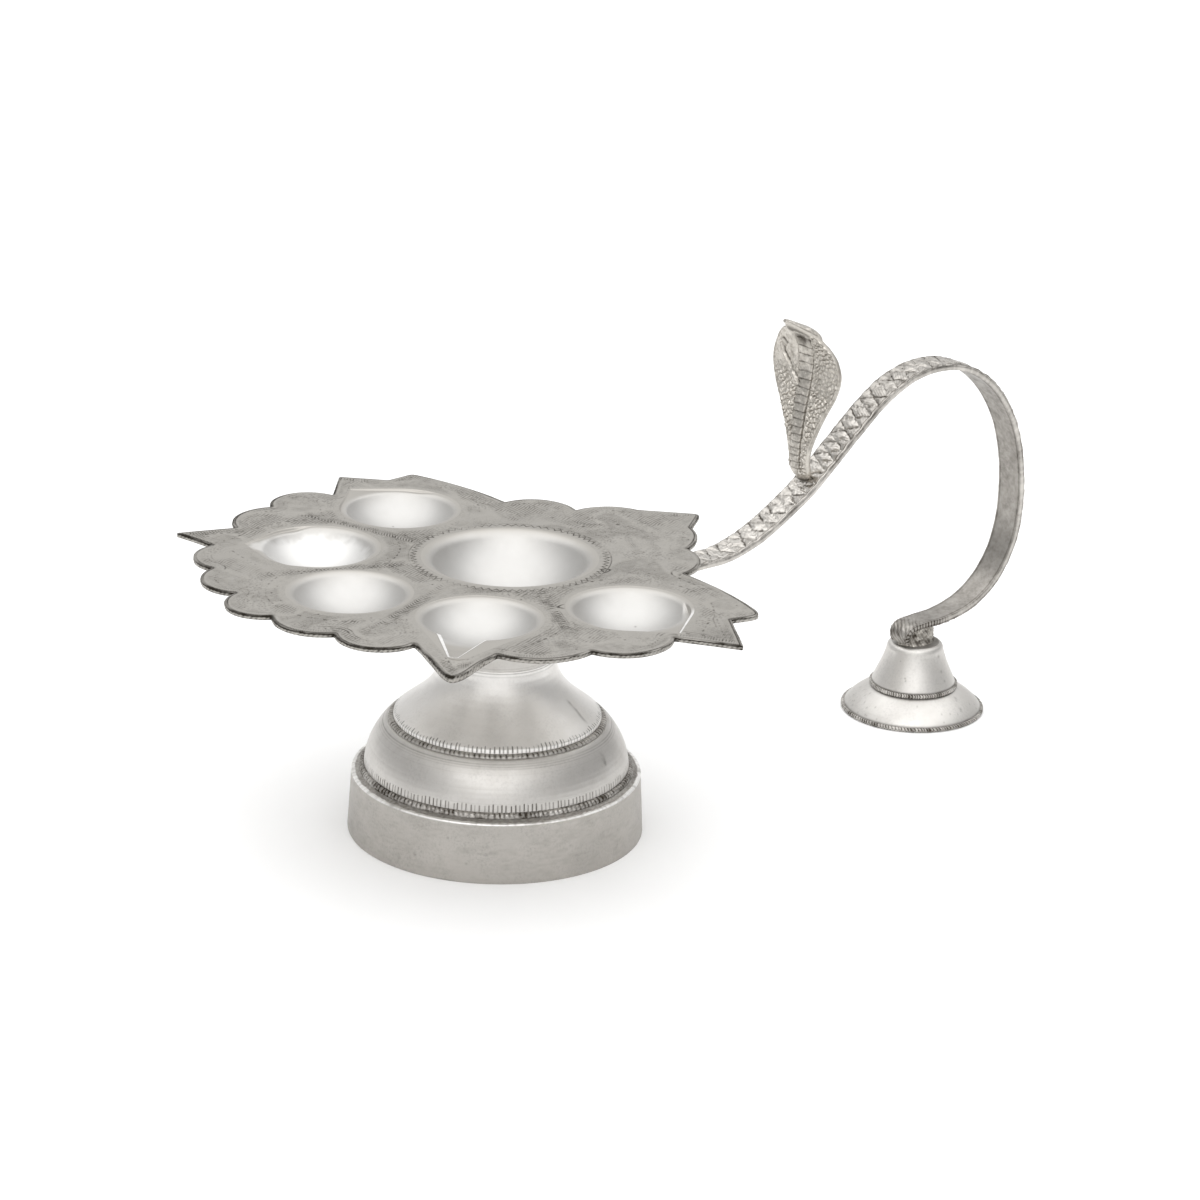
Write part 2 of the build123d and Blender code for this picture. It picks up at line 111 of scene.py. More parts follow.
def noise(x, y, seed=0):
    xi, yi = np.floor(x).astype(np.int64), np.floor(y).astype(np.int64)
    u, v = x - xi, y - yi
    u, v = u * u * (3 - 2 * u), v * v * (3 - 2 * v)
    low = lattice(xi, yi, seed) * (1 - u) + lattice(xi + 1, yi, seed) * u
    top = lattice(xi, yi + 1, seed) * (1 - u) + lattice(xi + 1, yi + 1, seed) * u
    return low * (1 - v) + top * v


def loop_noise(t, turns, seed=0):
    """Noise along a closed loop, t from 0 to 1."""
    x = t * turns
    xi = np.floor(x).astype(np.int64)
    u = x - xi
    u = u * u * (3 - 2 * u)
    return lattice(xi % turns, 0 * xi, seed) * (1 - u) + lattice((xi + 1) % turns, 0 * xi, seed) * u


def pebbles(u, v, seed, jitter=0.42):
    """Distances to the nearest and next of scattered points, one to a cell, and a number for the cell."""
    ci, cj = np.floor(u).astype(np.int64), np.floor(v).astype(np.int64)
    f1, f2, own = np.full(u.shape, 9.0), np.full(u.shape, 9.0), np.zeros(u.shape)
    for di in (-1, 0, 1):
        for dj in (-1, 0, 1):
            a, b = ci + di, cj + dj
            px = a + 0.5 + jitter * lattice(a, b, seed)
            py = b + 0.5 + jitter * lattice(a, b, seed + 1) + 0.25 * ((a % 2) - 0.5)
            d = np.hypot(u - px, v - py)
            closer = d < f1
            f2 = np.where(closer, f1, np.minimum(f2, d))
            own = np.where(closer, lattice(a, b, seed + 2), own)
            f1 = np.where(closer, d, f1)
    return f1, f2, own


def path_distance(u, v, points):
    """Distance to a path of straight pieces."""
    best = np.full(np.shape(u), 1e9)
    for (ax, ay), (bx, by) in zip(points, points[1:]):
        t = np.clip(((u - ax) * (bx - ax) + (v - ay) * (by - ay)) / ((bx - ax) ** 2 + (by - ay) ** 2), 0, 1)
        best = np.minimum(best, np.hypot(u - ax - t * (bx - ax), v - ay - t * (by - ay)))
    return best


def bezier(a, b, c, d, n):
    t = np.linspace(0, 1, n)[:, None]
    a, b, c, d = (np.array(p, float) for p in (a, b, c, d))
    return (1 - t) ** 3 * a + 3 * (1 - t) ** 2 * t * b + 3 * (1 - t) * t**2 * c + t**3 * d


def line(a, b, n):
    t = np.linspace(0, 1, n)[:, None]
    return np.array(a, float) * (1 - t) + np.array(b, float) * t


def smooth_through(points, spacing):
    """Even points on a Catmull-Rom curve through the given points."""
    p = np.array(points, float)
    p = np.vstack([2 * p[0] - p[1], p, 2 * p[-1] - p[-2]])
    out = []
    for i in range(1, len(p) - 2):
        t = np.linspace(0, 1, 60, endpoint=False)[:, None]
        a, b, c, d = p[i - 1], p[i], p[i + 1], p[i + 2]
        out.append(0.5 * (2 * b + (c - a) * t + (2 * a - 5 * b + 4 * c - d) * t**2 + (3 * b - a - 3 * c + d) * t**3))
    out = np.vstack(out + [p[-2:-1]])
    for _ in range(3):
        out[1:-1] = 0.25 * out[:-2] + 0.5 * out[1:-1] + 0.25 * out[2:]
    s = np.concatenate([[0], np.cumsum(np.linalg.norm(np.diff(out, axis=0), axis=1))])
    even = np.linspace(0, s[-1], int(s[-1] / spacing) + 1)
    return np.stack([np.interp(even, s, out[:, k]) for k in range(out.shape[1])], 1), even


# ------------------------------------------------------------------ mesh building
def build(name, verts, faces, material, nodes, layers=None, sharp=42.0):
    """A mesh object from points in mm and lists of faces, riding on the part."""
    me = bpy.data.meshes.new(name)
    all_faces = []
    for block in faces:
        all_faces.extend(np.asarray(block).tolist())
    me.from_pydata((np.asarray(verts, float) * MM).tolist(), [], all_faces)
    for key, values in (layers or {}).items():
        layer = me.attributes.new(key, "FLOAT", "POINT")
        layer.data.foreach_set("value", np.ascontiguousarray(np.clip(values, 0, 1), dtype=np.float32))
    me.polygons.foreach_set("use_smooth", np.ones(len(me.polygons), dtype=bool))
    me.set_sharp_from_angle(angle=math.radians(sharp))
    me.materials.append(material)
    me.update()
    ob = bpy.data.objects.new(name, me)
    bpy.context.scene.collection.objects.link(ob)
    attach(ob, "root")
    if nodes:
        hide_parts(*nodes)
    return ob


def grid_faces(rows, cols, wrap_rows=False, wrap_cols=False, start=0, flip=False):
    r = np.arange(rows if wrap_rows else rows - 1)
    c = np.arange(cols if wrap_cols else cols - 1)
    a = (r[:, None] * cols + c[None, :]).ravel()
    b = (r[:, None] * cols + ((c + 1) % cols)[None, :]).ravel()
    d = (((r + 1) % rows)[:, None] * cols + c[None, :]).ravel()
    e = (((r + 1) % rows)[:, None] * cols + ((c + 1) % cols)[None, :]).ravel()
    quads = np.stack([a, d, e, b] if flip else [a, b, e, d], 1) + start
    return quads


def revolve(profile, segments, centre=(0.0, 0.0), shift=None):
    """A closed profile of (radius, height) turned round an axis. shift(theta, r, z) gives (dr, dz, cav)."""
    p = np.asarray(profile, float)
    th = np.linspace(0, TAU, segments, endpoint=False)
    r = np.repeat(p[None, :, 0], segments, 0)
    z = np.repeat(p[None, :, 1], segments, 0)
    t = np.repeat(th[:, None], len(p), 1)
    cav = np.zeros_like(r)
    if shift is not None:
        dr, dz, cav = shift(t, r, z)
        r, z = r + dr, z + dz
        cav = cav + np.zeros_like(r)
    v = np.stack([centre[0] + r * np.cos(t), centre[1] + r * np.sin(t), z], -1).reshape(-1, 3)
    return v, grid_faces(segments, len(p), True, True), cav.ravel()


def thin(points, gap):
    """Drops points of a profile that lie nearer than a gap to the one before."""
    keep = [points[0]]
    for p in points[1:]:
        if math.hypot(p[0] - keep[-1][0], p[1] - keep[-1][1]) >= gap:
            keep.append(p)
    if math.hypot(keep[0][0] - keep[-1][0], keep[0][1] - keep[-1][1]) < gap:
        keep.pop()
    return np.array(keep)


# ------------------------------------------------------------------ materials
def silver(name, colour, dark, rough, stipple=0.0, stipple_size=0.35, lathe=0.0, lathe_centre=0.0,
           cloud=0.05, cavity=0.75, polish=None, scratch=0.0, grain=0.0, mottle=0.0, lip_grey_and_highlight_colour=None, under_colour=None, highlight_colour=None):
    """Worked silver: clean metal, tarnish in the hollows mixed with painted shade, painted highlights where a mask asks
    for them, tool marks at their real size.
    """
    m = bpy.data.materials.new(name)
    m.use_nodes = True
    nt = m.node_tree
    nt.nodes.clear()
    out = nt.nodes.new("ShaderNodeOutputMaterial")
    bsdf = nt.nodes.new("ShaderNodeBsdfPrincipled")
    nt.links.new(bsdf.outputs["BSDF"], out.inputs["Surface"])
    bsdf.inputs["Metallic"].default_value = 1.0
    coord = nt.nodes.new("ShaderNodeTexCoord").outputs["Object"]

    def math_node(op, a, b=None, clamp=False):
        n = nt.nodes.new("ShaderNodeMath")
        n.operation = op
        n.use_clamp = clamp
        for i, v in enumerate((a, b)):
            if v is None:
                continue
            if isinstance(v, (int, float)):
                n.inputs[i].default_value = v
            else:
                nt.links.new(v, n.inputs[i])
        return n.outputs[0]

    def noise_node(vector, scale, detail=3.0, roughness=0.55):
        n = nt.nodes.new("ShaderNodeTexNoise")
        n.inputs["Scale"].default_value = scale
        n.inputs["Detail"].default_value = detail
        n.inputs["Roughness"].default_value = roughness
        nt.links.new(vector, n.inputs["Vector"])
        return n.outputs[0]

    def mix(factor, a, b):
        n = nt.nodes.new("ShaderNodeMix")
        n.data_type = "RGBA"
        nt.links.new(factor, n.inputs[0])
        for socket, v in ((n.inputs[6], a), (n.inputs[7], b)):
            if isinstance(v, tuple):
                socket.default_value = (*v, 1)
            else:
                nt.links.new(v, socket)
        return n.outputs[2]

    def attribute(key):
        n = nt.nodes.new("ShaderNodeAttribute")
        n.attribute_name = key
        return n.outputs["Fac"]

    cav = attribute("cav")
    big = noise_node(coord, 55.0, 3.0)
    mid = noise_node(coord, 420.0, 4.0)
    fine = noise_node(coord, 1000.0 / stipple_size, 2.0)

    # colour: clouded metal, then tarnish in the hollows and painted shade, both carried by cav, broken up a little
    cloudy = math_node("MULTIPLY_ADD", big, 2.2, clamp=True)
    cloudy.node.inputs[2].default_value = -0.6
    shade = tuple(c * (1 - cloud * 2.4) for c in colour)
    body = mix(cloudy, colour, shade)
    if grain:
        # dark specks of the worked surface
        speck = math_node("MULTIPLY_ADD", fine, 3.4, clamp=True)
        speck.node.inputs[2].default_value = -1.55
        patch = math_node("MULTIPLY_ADD", noise_node(coord, 170.0, 2.0), 3.0, clamp=True)
        patch.node.inputs[2].default_value = -0.9
        body = mix(math_node("MULTIPLY", math_node("MULTIPLY", speck, patch), grain), body, tuple(c * 0.35 for c in colour))
    if mottle:
        # brownish bloom left between cleanings
        bloom = math_node("MULTIPLY_ADD", mid, 3.0, clamp=True)
        bloom.node.inputs[2].default_value = -1.15
        body = mix(math_node("MULTIPLY", bloom, mottle), body, (colour[0] * 0.66, colour[1] * 0.64, colour[2] * 0.60))
    # on the cups this mask gives the lip the plate's grey; on the drum the same mask paints a highlight along the
    # rolled edge
    if lip_grey_and_highlight_colour is not None:
        body = mix(attribute("lip_grey_and_highlight"), body, lip_grey_and_highlight_colour)
    # painted highlight: a near-white colour mixed in by its own mask
    if highlight_colour is not None:
        body = mix(attribute("painted_highlight"), body, highlight_colour)
    # painted light: the plate's underside takes a lighter colour, so the neck beneath mirrors it brighter
    if under_colour is not None:
        body = mix(attribute("under"), body, under_colour)
    broken = math_node("MULTIPLY", cav, math_node("MULTIPLY_ADD", mid, 0.9, clamp=False))
    broken.node.inputs[1].links[0].from_node.inputs[2].default_value = 0.55
    broken = math_node("MULTIPLY", broken, cavity, clamp=True)
    nt.links.new(mix(broken, body, dark), bsdf.inputs["Base Color"])

    # roughness: uneven finish, duller in the hollows
    r = math_node("MULTIPLY_ADD", mid, (rough[1] - rough[0]) * 1.6)
    r.node.inputs[2].default_value = rough[0] - (rough[1] - rough[0]) * 0.3
    if polish is not None:
        # burnished inside, dull at the lip
        n = nt.nodes.new("ShaderNodeMix")
        n.data_type = "FLOAT"
        nt.links.new(attribute("lip_grey_and_highlight"), n.inputs[0])
        nt.links.new(r, n.inputs[2])
        n.inputs[3].default_value = polish
        r = n.outputs[0]
    r = math_node("ADD", r, math_node("MULTIPLY", cav, 0.22), clamp=True)
    nt.links.new(r, bsdf.inputs["Roughness"])

    # relief of the tool marks
    height = None

    def add(h, amount):
        nonlocal height
        scaled = math_node("MULTIPLY", h, amount)
        height = scaled if height is None else math_node("ADD", height, scaled)

    if stipple:
        add(fine, stipple)
        add(mid, stipple * 0.8)
    if lathe:
        sep = nt.nodes.new("ShaderNodeSeparateXYZ")
        nt.links.new(coord, sep.inputs[0])
        x = math_node("SUBTRACT", sep.outputs[0], lathe_centre)
        rad = math_node("SQRT", math_node("ADD", math_node("MULTIPLY", x, x), math_node("MULTIPLY", sep.outputs[1], sep.outputs[1])))
        comb = nt.nodes.new("ShaderNodeCombineXYZ")
        nt.links.new(math_node("MULTIPLY", rad, 1.0), comb.inputs[0])
        nt.links.new(sep.outputs[2], comb.inputs[2])
        turn = math_node("MULTIPLY", math_node("ARCTAN2", sep.outputs[1], x), 0.00035)
        nt.links.new(turn, comb.inputs[1])
        add(noise_node(comb.outputs[0], 3300.0, 4.0, 0.65), lathe)
        add(noise_node(comb.outputs[0], 900.0, 2.0, 0.5), lathe * 1.2)
    if scratch:
        stretch = nt.nodes.new("ShaderNodeMapping")
        stretch.inputs["Scale"].default_value = (180.0, 2600.0, 2600.0)
        stretch.inputs["Rotation"].default_value = (0.2, 0.5, 0.7)
        nt.links.new(coord, stretch.inputs["Vector"])
        add(noise_node(stretch.outputs[0], 1.0, 2.0), scratch)
    if height is not None:
        bump = nt.nodes.new("ShaderNodeBump")
        bump.inputs["Strength"].default_value = 1.0
        bump.inputs["Distance"].default_value = 0.0001
        nt.links.new(height, bump.inputs["Height"])
        nt.links.new(bump.outputs[0], bsdf.inputs["Normal"])
    return m


# the base colours of these silvers are partly the finish of each part and partly painted light: the neck is painted
# lighter though it stands in the plate's shadow, the plate's underside lighter so the neck mirrors more light, and the
# drum darker as it mirrors the bright floor
TARNISH = (0.055, 0.045, 0.034)
MATTE = (0.461, 0.442, 0.410)
plate_silver = silver("plate_silver", MATTE, (0.032, 0.028, 0.022), (0.42, 0.52), stipple=0.20, stipple_size=0.34, cloud=0.04, cavity=0.95, scratch=0.06, grain=0.42, mottle=0.15, under_colour=(0.88, 0.865, 0.842))
polished_silver = silver("polished_silver", (0.575, 0.567, 0.552), TARNISH, (0.44, 0.52), stipple=0.03, stipple_size=0.7, cloud=0.015, cavity=0.9, polish=0.48, scratch=0.03, lip_grey_and_highlight_colour=MATTE, highlight_colour=(0.97, 0.965, 0.955))
neck_silver = silver("neck_silver", (0.88, 0.862, 0.836), TARNISH, (0.36, 0.44), stipple=0.03, stipple_size=0.5, lathe=0.050, cloud=0.05, cavity=0.95, scratch=0.02, grain=0.14, mottle=0.10)
collar_silver = silver("collar_silver", (0.63, 0.612, 0.585), TARNISH, (0.40, 0.48), stipple=0.05, stipple_size=0.5, lathe=0.05, cloud=0.06, cavity=0.95, scratch=0.02, grain=0.2, mottle=0.14)
spun_silver = silver("spun_silver", (0.65, 0.631, 0.604), TARNISH, (0.38, 0.46), stipple=0.03, stipple_size=0.5, lathe=0.055, cloud=0.055, cavity=0.95, scratch=0.02, grain=0.20, mottle=0.14)
drum_silver = silver("drum_silver", (0.515, 0.493, 0.462), TARNISH, (0.38, 0.48), stipple=0.06, stipple_size=0.45, lathe=0.045, cloud=0.07, cavity=0.9, scratch=0.03, grain=0.30, mottle=0.10, lip_grey_and_highlight_colour=(0.95, 0.938, 0.92))
bead_silver = silver("bead_silver", (0.66, 0.638, 0.605), TARNISH, (0.30, 0.40), stipple=0.10, cloud=0.05, cavity=1.0, grain=0.4, mottle=0.25)
strap_silver = silver("strap_silver", (0.695, 0.666, 0.624), TARNISH, (0.26, 0.36), stipple=0.12, stipple_size=0.3, cloud=0.03, cavity=0.95, grain=0.35)
cast_silver = silver("cast_silver", (0.655, 0.622, 0.570), TARNISH, (0.30, 0.42), stipple=0.22, stipple_size=0.26, cloud=0.05, cavity=0.9, grain=0.45, mottle=0.25)
foot_silver = silver("foot_silver", (0.715, 0.696, 0.667), TARNISH, (0.42, 0.50), stipple=0.03, stipple_size=0.5, lathe=0.03, lathe_centre=FOOT_X * MM, cloud=0.05, cavity=0.95, grain=0.22, mottle=0.12)


# ------------------------------------------------------------------ plate outline
def arc3(a, b, c, gap):
    ax, ay = a
    bx, by = b
    cx, cy = c
    d = 2 * (ax * (by - cy) + bx * (cy - ay) + cx * (ay - by))
    ux = ((ax**2 + ay**2) * (by - cy) + (bx**2 + by**2) * (cy - ay) + (cx**2 + cy**2) * (ay - by)) / d
    uy = ((ax**2 + ay**2) * (cx - bx) + (bx**2 + by**2) * (ax - cx) + (cx**2 + cy**2) * (bx - ax)) / d
    rad = math.hypot(ax - ux, ay - uy)
    t0, t1, t2 = (math.atan2(y - uy, x - ux) for x, y in (a, b, c))
    ccw = ((t1 - t0) % TAU) < ((t2 - t0) % TAU)
    sweep = (t2 - t0) % TAU if ccw else -((t0 - t2) % TAU)
    n = max(int(abs(sweep) * rad / gap), 4)
    t = t0 + np.linspace(0, sweep, n, endpoint=False)
    return np.stack([ux + rad * np.cos(t), uy + rad * np.sin(t)], 1)


def outline_points(gap=0.04):
    corners = [i for i, p in enumerate(OUTLINE) if p[0] != "lobe"]
    runs, soft = [], []
    for a, b in zip(corners, corners[1:] + corners[:1]):
        start, end = OUTLINE[a][1:], OUTLINE[b][1:]
        if (b - a) % len(OUTLINE) == 2:
            run = arc3(start, OUTLINE[a + 1][1:], end, gap)
        else:
            n = max(int(math.dist(start, end) / gap), 4)
            run = line(start, end, n + 1)[:-1]
        runs.append(run)
    p = np.vstack(runs)
    # blunt the tips and notches a little, some tips more
    sigma = np.full(len(p), 0.16)
    for x, y, s, reach in ((50.0, -2.0, 1.1, 4.0), (21.9, -54.6, 2.0, 7.0), (7.8, -65.3, 0.35, 1.5), (16.2, 51.6, 0.7, 2.5), (2.4, 58.5, 0.5, 2.0), (-47.6, -46.9, 2.9, 10.0), (-45.1, 48.3, 0.5, 2.2)):
        d = np.hypot(p[:, 0] - x, p[:, 1] - y)
        sigma = np.maximum(sigma, s * (1 - step(0.3 * reach, reach, d)))
    out = np.zeros_like(p)
    weight = np.zeros(len(p))
    for k in range(-180, 181):
        w = np.exp(-0.5 * (k * gap / sigma) ** 2)
        out += np.roll(p, -k, 0) * w[:, None]
        weight += w
    return out / weight[:, None]


rim = outline_points()
area = 0.5 * np.sum(rim[:, 0] * np.roll(rim[:, 1], -1) - np.roll(rim[:, 0], -1) * rim[:, 1])
if area < 0:
    rim = rim[::-1]
rim_in = np.stack([-(np.roll(rim, -1, 0) - np.roll(rim, 1, 0))[:, 1], (np.roll(rim, -1, 0) - np.roll(rim, 1, 0))[:, 0]], 1)
rim_in /= np.linalg.norm(rim_in, axis=1)[:, None]
rim_s = np.concatenate([[0], np.cumsum(np.linalg.norm(np.diff(rim, axis=0), axis=1))])
rim_len = rim_s[-1] + np.linalg.norm(rim[0] - rim[-1])
EDGE_IN = 0.15          # the flat of the plate ends this far inside the outline
edge = rim + rim_in * EDGE_IN
tree = KDTree(len(edge))
for i, (x, y) in enumerate(edge):
    tree.insert((x, y, 0), i)
tree.balance()


def capsule(u, v, r1, r2, reach):
    """Signed distance to the hull of a circle at the middle and a small one at the reach (negative inside)."""
    if reach <= 0:
        return np.hypot(u, v) - r1
    v = np.abs(v)
    b = (r1 - r2) / reach
    a = math.sqrt(1 - b * b)
    k = -b * v + a * u
    return np.where(k < 0, np.hypot(u, v) - r1, np.where(k > a * reach, np.hypot(u - reach, v) - r2, a * v + b * u - r1))


def lip(radius, depth, roll):
    """Sphere radius, its height over the plate, and where the rolled lip leaves the plate."""
    sphere = (radius * radius + depth * depth) / (2 * depth)
    over = sphere - depth
    leave = math.sqrt((sphere + roll) ** 2 - (over + roll) ** 2)
    return sphere, over, leave


CUP_ROLL, BOWL_ROLL = 2.4, 3.0
CUP_S, CUP_O, CUP_L = lip(CUP_R, CUP_DEPTH, CUP_ROLL)
BOWL_S, BOWL_O, BOWL_L = lip(BOWL_R, BOWL_DEPTH, BOWL_ROLL)


def mouth(x, y, cup):
    """Signed distance to a wick cup's mouth on the plate."""
    cx, cy, angle, reach, tip = cup
    c, s = math.cos(math.radians(angle)), math.sin(math.radians(angle))
    u, v = (x - cx) * c + (y - cy) * s, -(x - cx) * s + (y - cy) * c
    return capsule(u, v, CUP_L, tip, reach - tip if reach else 0)


def bowl_mouth(x, y):
    return np.hypot(x - BOWL_X, y - BOWL_Y) - BOWL_L


HOLES = [lambda x, y, c=c: mouth(x, y, c) for c in CUPS.values()] + [bowl_mouth]


def inside_outline(xs, ys):
    """Grid test against the outline by scan lines."""
    a, b = edge, np.roll(edge, -1, 0)
    result = np.zeros((len(ys), len(xs)), bool)
    for j, y in enumerate(ys):
        cross = (a[:, 1] <= y) != (b[:, 1] <= y)
        px = a[cross, 0] + (y - a[cross, 1]) / (b[cross, 1] - a[cross, 1]) * (b[cross, 0] - a[cross, 0])
        result[j] = np.searchsorted(np.sort(px), xs) % 2 == 1
    return result


# ------------------------------------------------------------------ leaf plate: sheet cut, dished round the mouths, chased
def leaf_plate():
    h = 0.20
    xs = np.arange(edge[:, 0].min() - 2 * h, edge[:, 0].max() + 3 * h, h)
    ys = np.arange(edge[:, 1].min() - 2 * h, edge[:, 1].max() + 3 * h, h)
    cxs, cys = xs[:-1] + h / 2, ys[:-1] + h / 2
    keep = inside_outline(cxs, cys)
    gx, gy = np.meshgrid(cxs, cys)
    for hole in HOLES:
        keep &= hole(gx, gy) > 0
    # no two cells may meet at a corner only
    for _ in range(6):
        bad = keep[:-1, :-1] & keep[1:, 1:] & ~keep[1:, :-1] & ~keep[:-1, 1:]
        keep[:-1, :-1][bad] = False
        bad = keep[1:, :-1] & keep[:-1, 1:] & ~keep[:-1, :-1] & ~keep[1:, 1:]
        keep[1:, :-1][bad] = False
    rows, cols = len(ys), len(xs)
    jj, ii = np.nonzero(keep)
    a = jj * cols + ii
    quads = np.stack([a, a + 1, a + cols + 1, a + cols], 1)
    used, inverse = np.unique(quads, return_inverse=True)
    quads = inverse.reshape(-1, 4)
    p = np.stack([xs[used % cols], ys[used // cols]], 1)
    n = len(p)

    # the border of the kept cells, moved onto the true curves
    e = np.vstack([quads[:, [0, 1]], quads[:, [1, 2]], quads[:, [2, 3]], quads[:, [3, 0]]])
    key = np.minimum(e[:, 0], e[:, 1]).astype(np.int64) * n + np.maximum(e[:, 0], e[:, 1])
    _, first, count = np.unique(key, return_index=True, return_counts=True)
    rims = e[first[count == 1]]
    following = dict(rims.tolist())
    on_rim = np.zeros(n, bool)
    on_rim[rims.ravel()] = True
    hole_d = np.stack([hole(p[:, 0], p[:, 1]) for hole in HOLES], 1)
    for i in np.nonzero(on_rim)[0]:
        x, y = p[i]
        k = int(np.argmin(np.abs(hole_d[i])))
        co, idx, dist = tree.find((x, y, 0))
        if dist < abs(hole_d[i, k]):
            p[i] = edge[idx]
        else:
            hole = HOLES[k]
            for _ in range(3):
                d0 = float(hole(x, y))
                gxx = (float(hole(x + 1e-3, y)) - d0) / 1e-3
                gyy = (float(hole(x, y + 1e-3)) - d0) / 1e-3
                g2 = gxx * gxx + gyy * gyy
                x, y = x - d0 * gxx / g2, y - d0 * gyy / g2
            p[i] = (x, y)
    # even out the cells beside the border
    ring = on_rim.copy()
    for _ in range(3):
        ring[np.unique(quads[ring[quads].any(1)])] = True
    free = ring & ~on_rim
    both = np.vstack([e, e[:, ::-1]])
    both = both[free[both[:, 0]]]
    for _ in range(6):
        total = np.zeros((n, 2))
        number = np.zeros(n)
        np.add.at(total, both[:, 0], p[both[:, 1]])
        np.add.at(number, both[:, 0], 1)
        p[free] = total[free] / number[free][:, None]

    # distance to the edge and place along it, distances to the mouths
    fo = np.zeros(n)
    so = np.zeros(n)
    shade = np.zeros(n)
    for i in range(n):
        co, idx, dist = tree.find((p[i, 0], p[i, 1], 0))
        fo[i] = dist
        so[i] = rim_s[idx]
        shade[i] = rim_in[idx, 0]
    x, y = p[:, 0], p[:, 1]
    dh = np.stack([hole(x, y) for hole in HOLES], 1)
    order = np.sort(dh[:, :5], 1)
    cup_near, cup_next = order[:, 0], order[:, 1]
    db = dh[:, 5]
    rc = np.hypot(x - BOWL_X, y - BOWL_Y)
    th = np.arctan2(y - BOWL_Y, x - BOWL_X)

    worn = np.clip(0.50 + 0.60 * noise(x / 7.0, y / 7.0, 3) + 0.45 * noise(x / 1.1, y / 1.1, 13), 0.0, 1.15)      # where hand wear left the lines
    z = np.zeros(n)
    cav = np.zeros(n)

    def chase(depth, mask, dark=1.0):
        nonlocal z, cav
        z = z - 1.5 * depth * mask
        cav = np.maximum(cav, np.minimum(mask * dark * 2.0, 0.95))

    jitter = 0.14 * noise(so / 1.3, 0 * so, 5)
    # a line run along the edge, and a row of short strokes inside it
    chase(0.07, near(fo, 0.50 + 0.05 * noise(so / 4.0, 0 * so, 8), 0.13) * np.clip(0.55 + 0.7 * noise(so / 6.0, 0 * so, 9), 0.15, 1), 0.75)
    tips = np.zeros(n)
    for tx, ty, reach in ((50, -2, 9.0), (7.8, -65.3, 11.0), (21.9, -54.6, 8.0), (2.4, 58.5, 8.0), (16.2, 51.6, 7.0), (-45.1, 48.3, 9.0), (-45.8, -44.8, 8.0)):
        tips = np.maximum(tips, 1 - step(0.55 * reach, reach, np.hypot(x - tx, y - ty)))
    stroke = near(saw(so + jitter + 0.12 * fo, 0.58), 0, 0.115)
    chase(0.055, stroke * window(fo, 0.95, 1.9 + 0.9 * tips, 0.15) * worn * (0.45 + 0.55 * tips), 0.62)
    # the edge itself is black with old tarnish, and painted shade blackens it further where it is turned away from the
    # handle
    edge_tarnish_and_shade = (0.25 + 0.75 * step(-0.10, 0.60, shade)) * np.clip(0.75 + 0.5 * noise(so / 4.0, 0 * so, 35), 0, 1)
    cav = np.maximum(cav, (1 - step(0.12, 0.34, fo)) * np.clip(0.25 + 0.6 * noise(so / 2.2, 0 * so, 36), 0, 0.8) + (1 - step(0.30, 0.62, fo)) * 0.95 * edge_tarnish_and_shade)
    # scalloped double line of dashes a little further in
    dash = step(-0.15, 0.15, np.cos(TAU * (so + jitter) / 1.5))
    chase(0.05, near(fo, 2.75, 0.16) * dash * worn, 0.5)
    chase(0.04, near(fo, 3.5, 0.13) * worn * np.clip(0.4 + noise(so / 9.0, 0 * so, 12), 0, 1) * (fo > 2.4), 0.4)
    # leaf lines round each wick cup, outside its mouth
    inner = step(3.9, 4.6, fo) * step(1.2, 2.0, db)
    lead = np.argmin(dh[:, :5], 1)
    ang = np.zeros(n)
    for k, c in enumerate(CUPS.values()):
        m = lead == k
        ang[m] = np.arctan2(y[m] - c[1], x[m] - c[0]) * 15.5
    chase(0.055, near(cup_near, 3.75, 0.17) * step(-0.1, 0.1, np.cos(TAU * ang / 1.75)) * inner * worn, 0.5)
    # rope bands between neighbouring cups
    gap = cup_next - cup_near
    band = (1 - step(1.5, 2.1, gap)) * (1 - step(6.0, 7.5, cup_near)) * step(2.0, 2.8, db) * step(1.6, 2.4, fo)
    twist = rc + 0.8 * np.where(th > 0, 1, -1) * (dh[:, 0] - cup_near) * 0.35 + 0.10 * noise(x / 0.9, y / 0.9, 6)
    chase(0.06, near(saw(twist + 0.35 * gap, 0.82), 0, 0.16) * band * np.clip(worn + 0.2, 0, 1.1), 0.6)
    chase(0.04, near(gap, 2.3, 0.17) * (1 - step(5.5, 7.0, cup_near)) * step(2.2, 3.0, db) * step(1.6, 2.4, fo) * worn, 0.4)
    # zigzag round the bowl between two lines
    zig = np.abs(saw(th * 19.0, 1.55)) / 0.775
    chase(0.075, near(db, 0.95 + 1.1 * zig, 0.19) * window(db, 0.6, 2.4, 0.15) * step(0.4, 0.9, cup_near) * np.clip(worn + 0.25, 0, 1), 0.66)
    chase(0.045, near(db, 2.45, 0.12) * step(0.5, 1.0, cup_near) * worn, 0.42)
    # shade strokes fanned over the leaf towards the handle and over the side petals, half worn away
    fan = np.arctan2(y + 1.5, x - 12.0)
    reach_out = np.hypot(x - 12.0, y + 1.5)
    strokes = near(saw(fan * 26.0 + 0.25 * noise(x / 2.0, y / 2.0, 14), 1.1), 0, 0.15) * near(saw(reach_out + 0.6 * noise(fan * 9.0, 0 * fan, 15), 4.2), 0, 0.85)
    chase(0.045, strokes * window(x, 22.0, 46.0, 2.0) * step(3.8, 5.0, fo) * step(2.8, 3.6, db) * worn, 0.42)
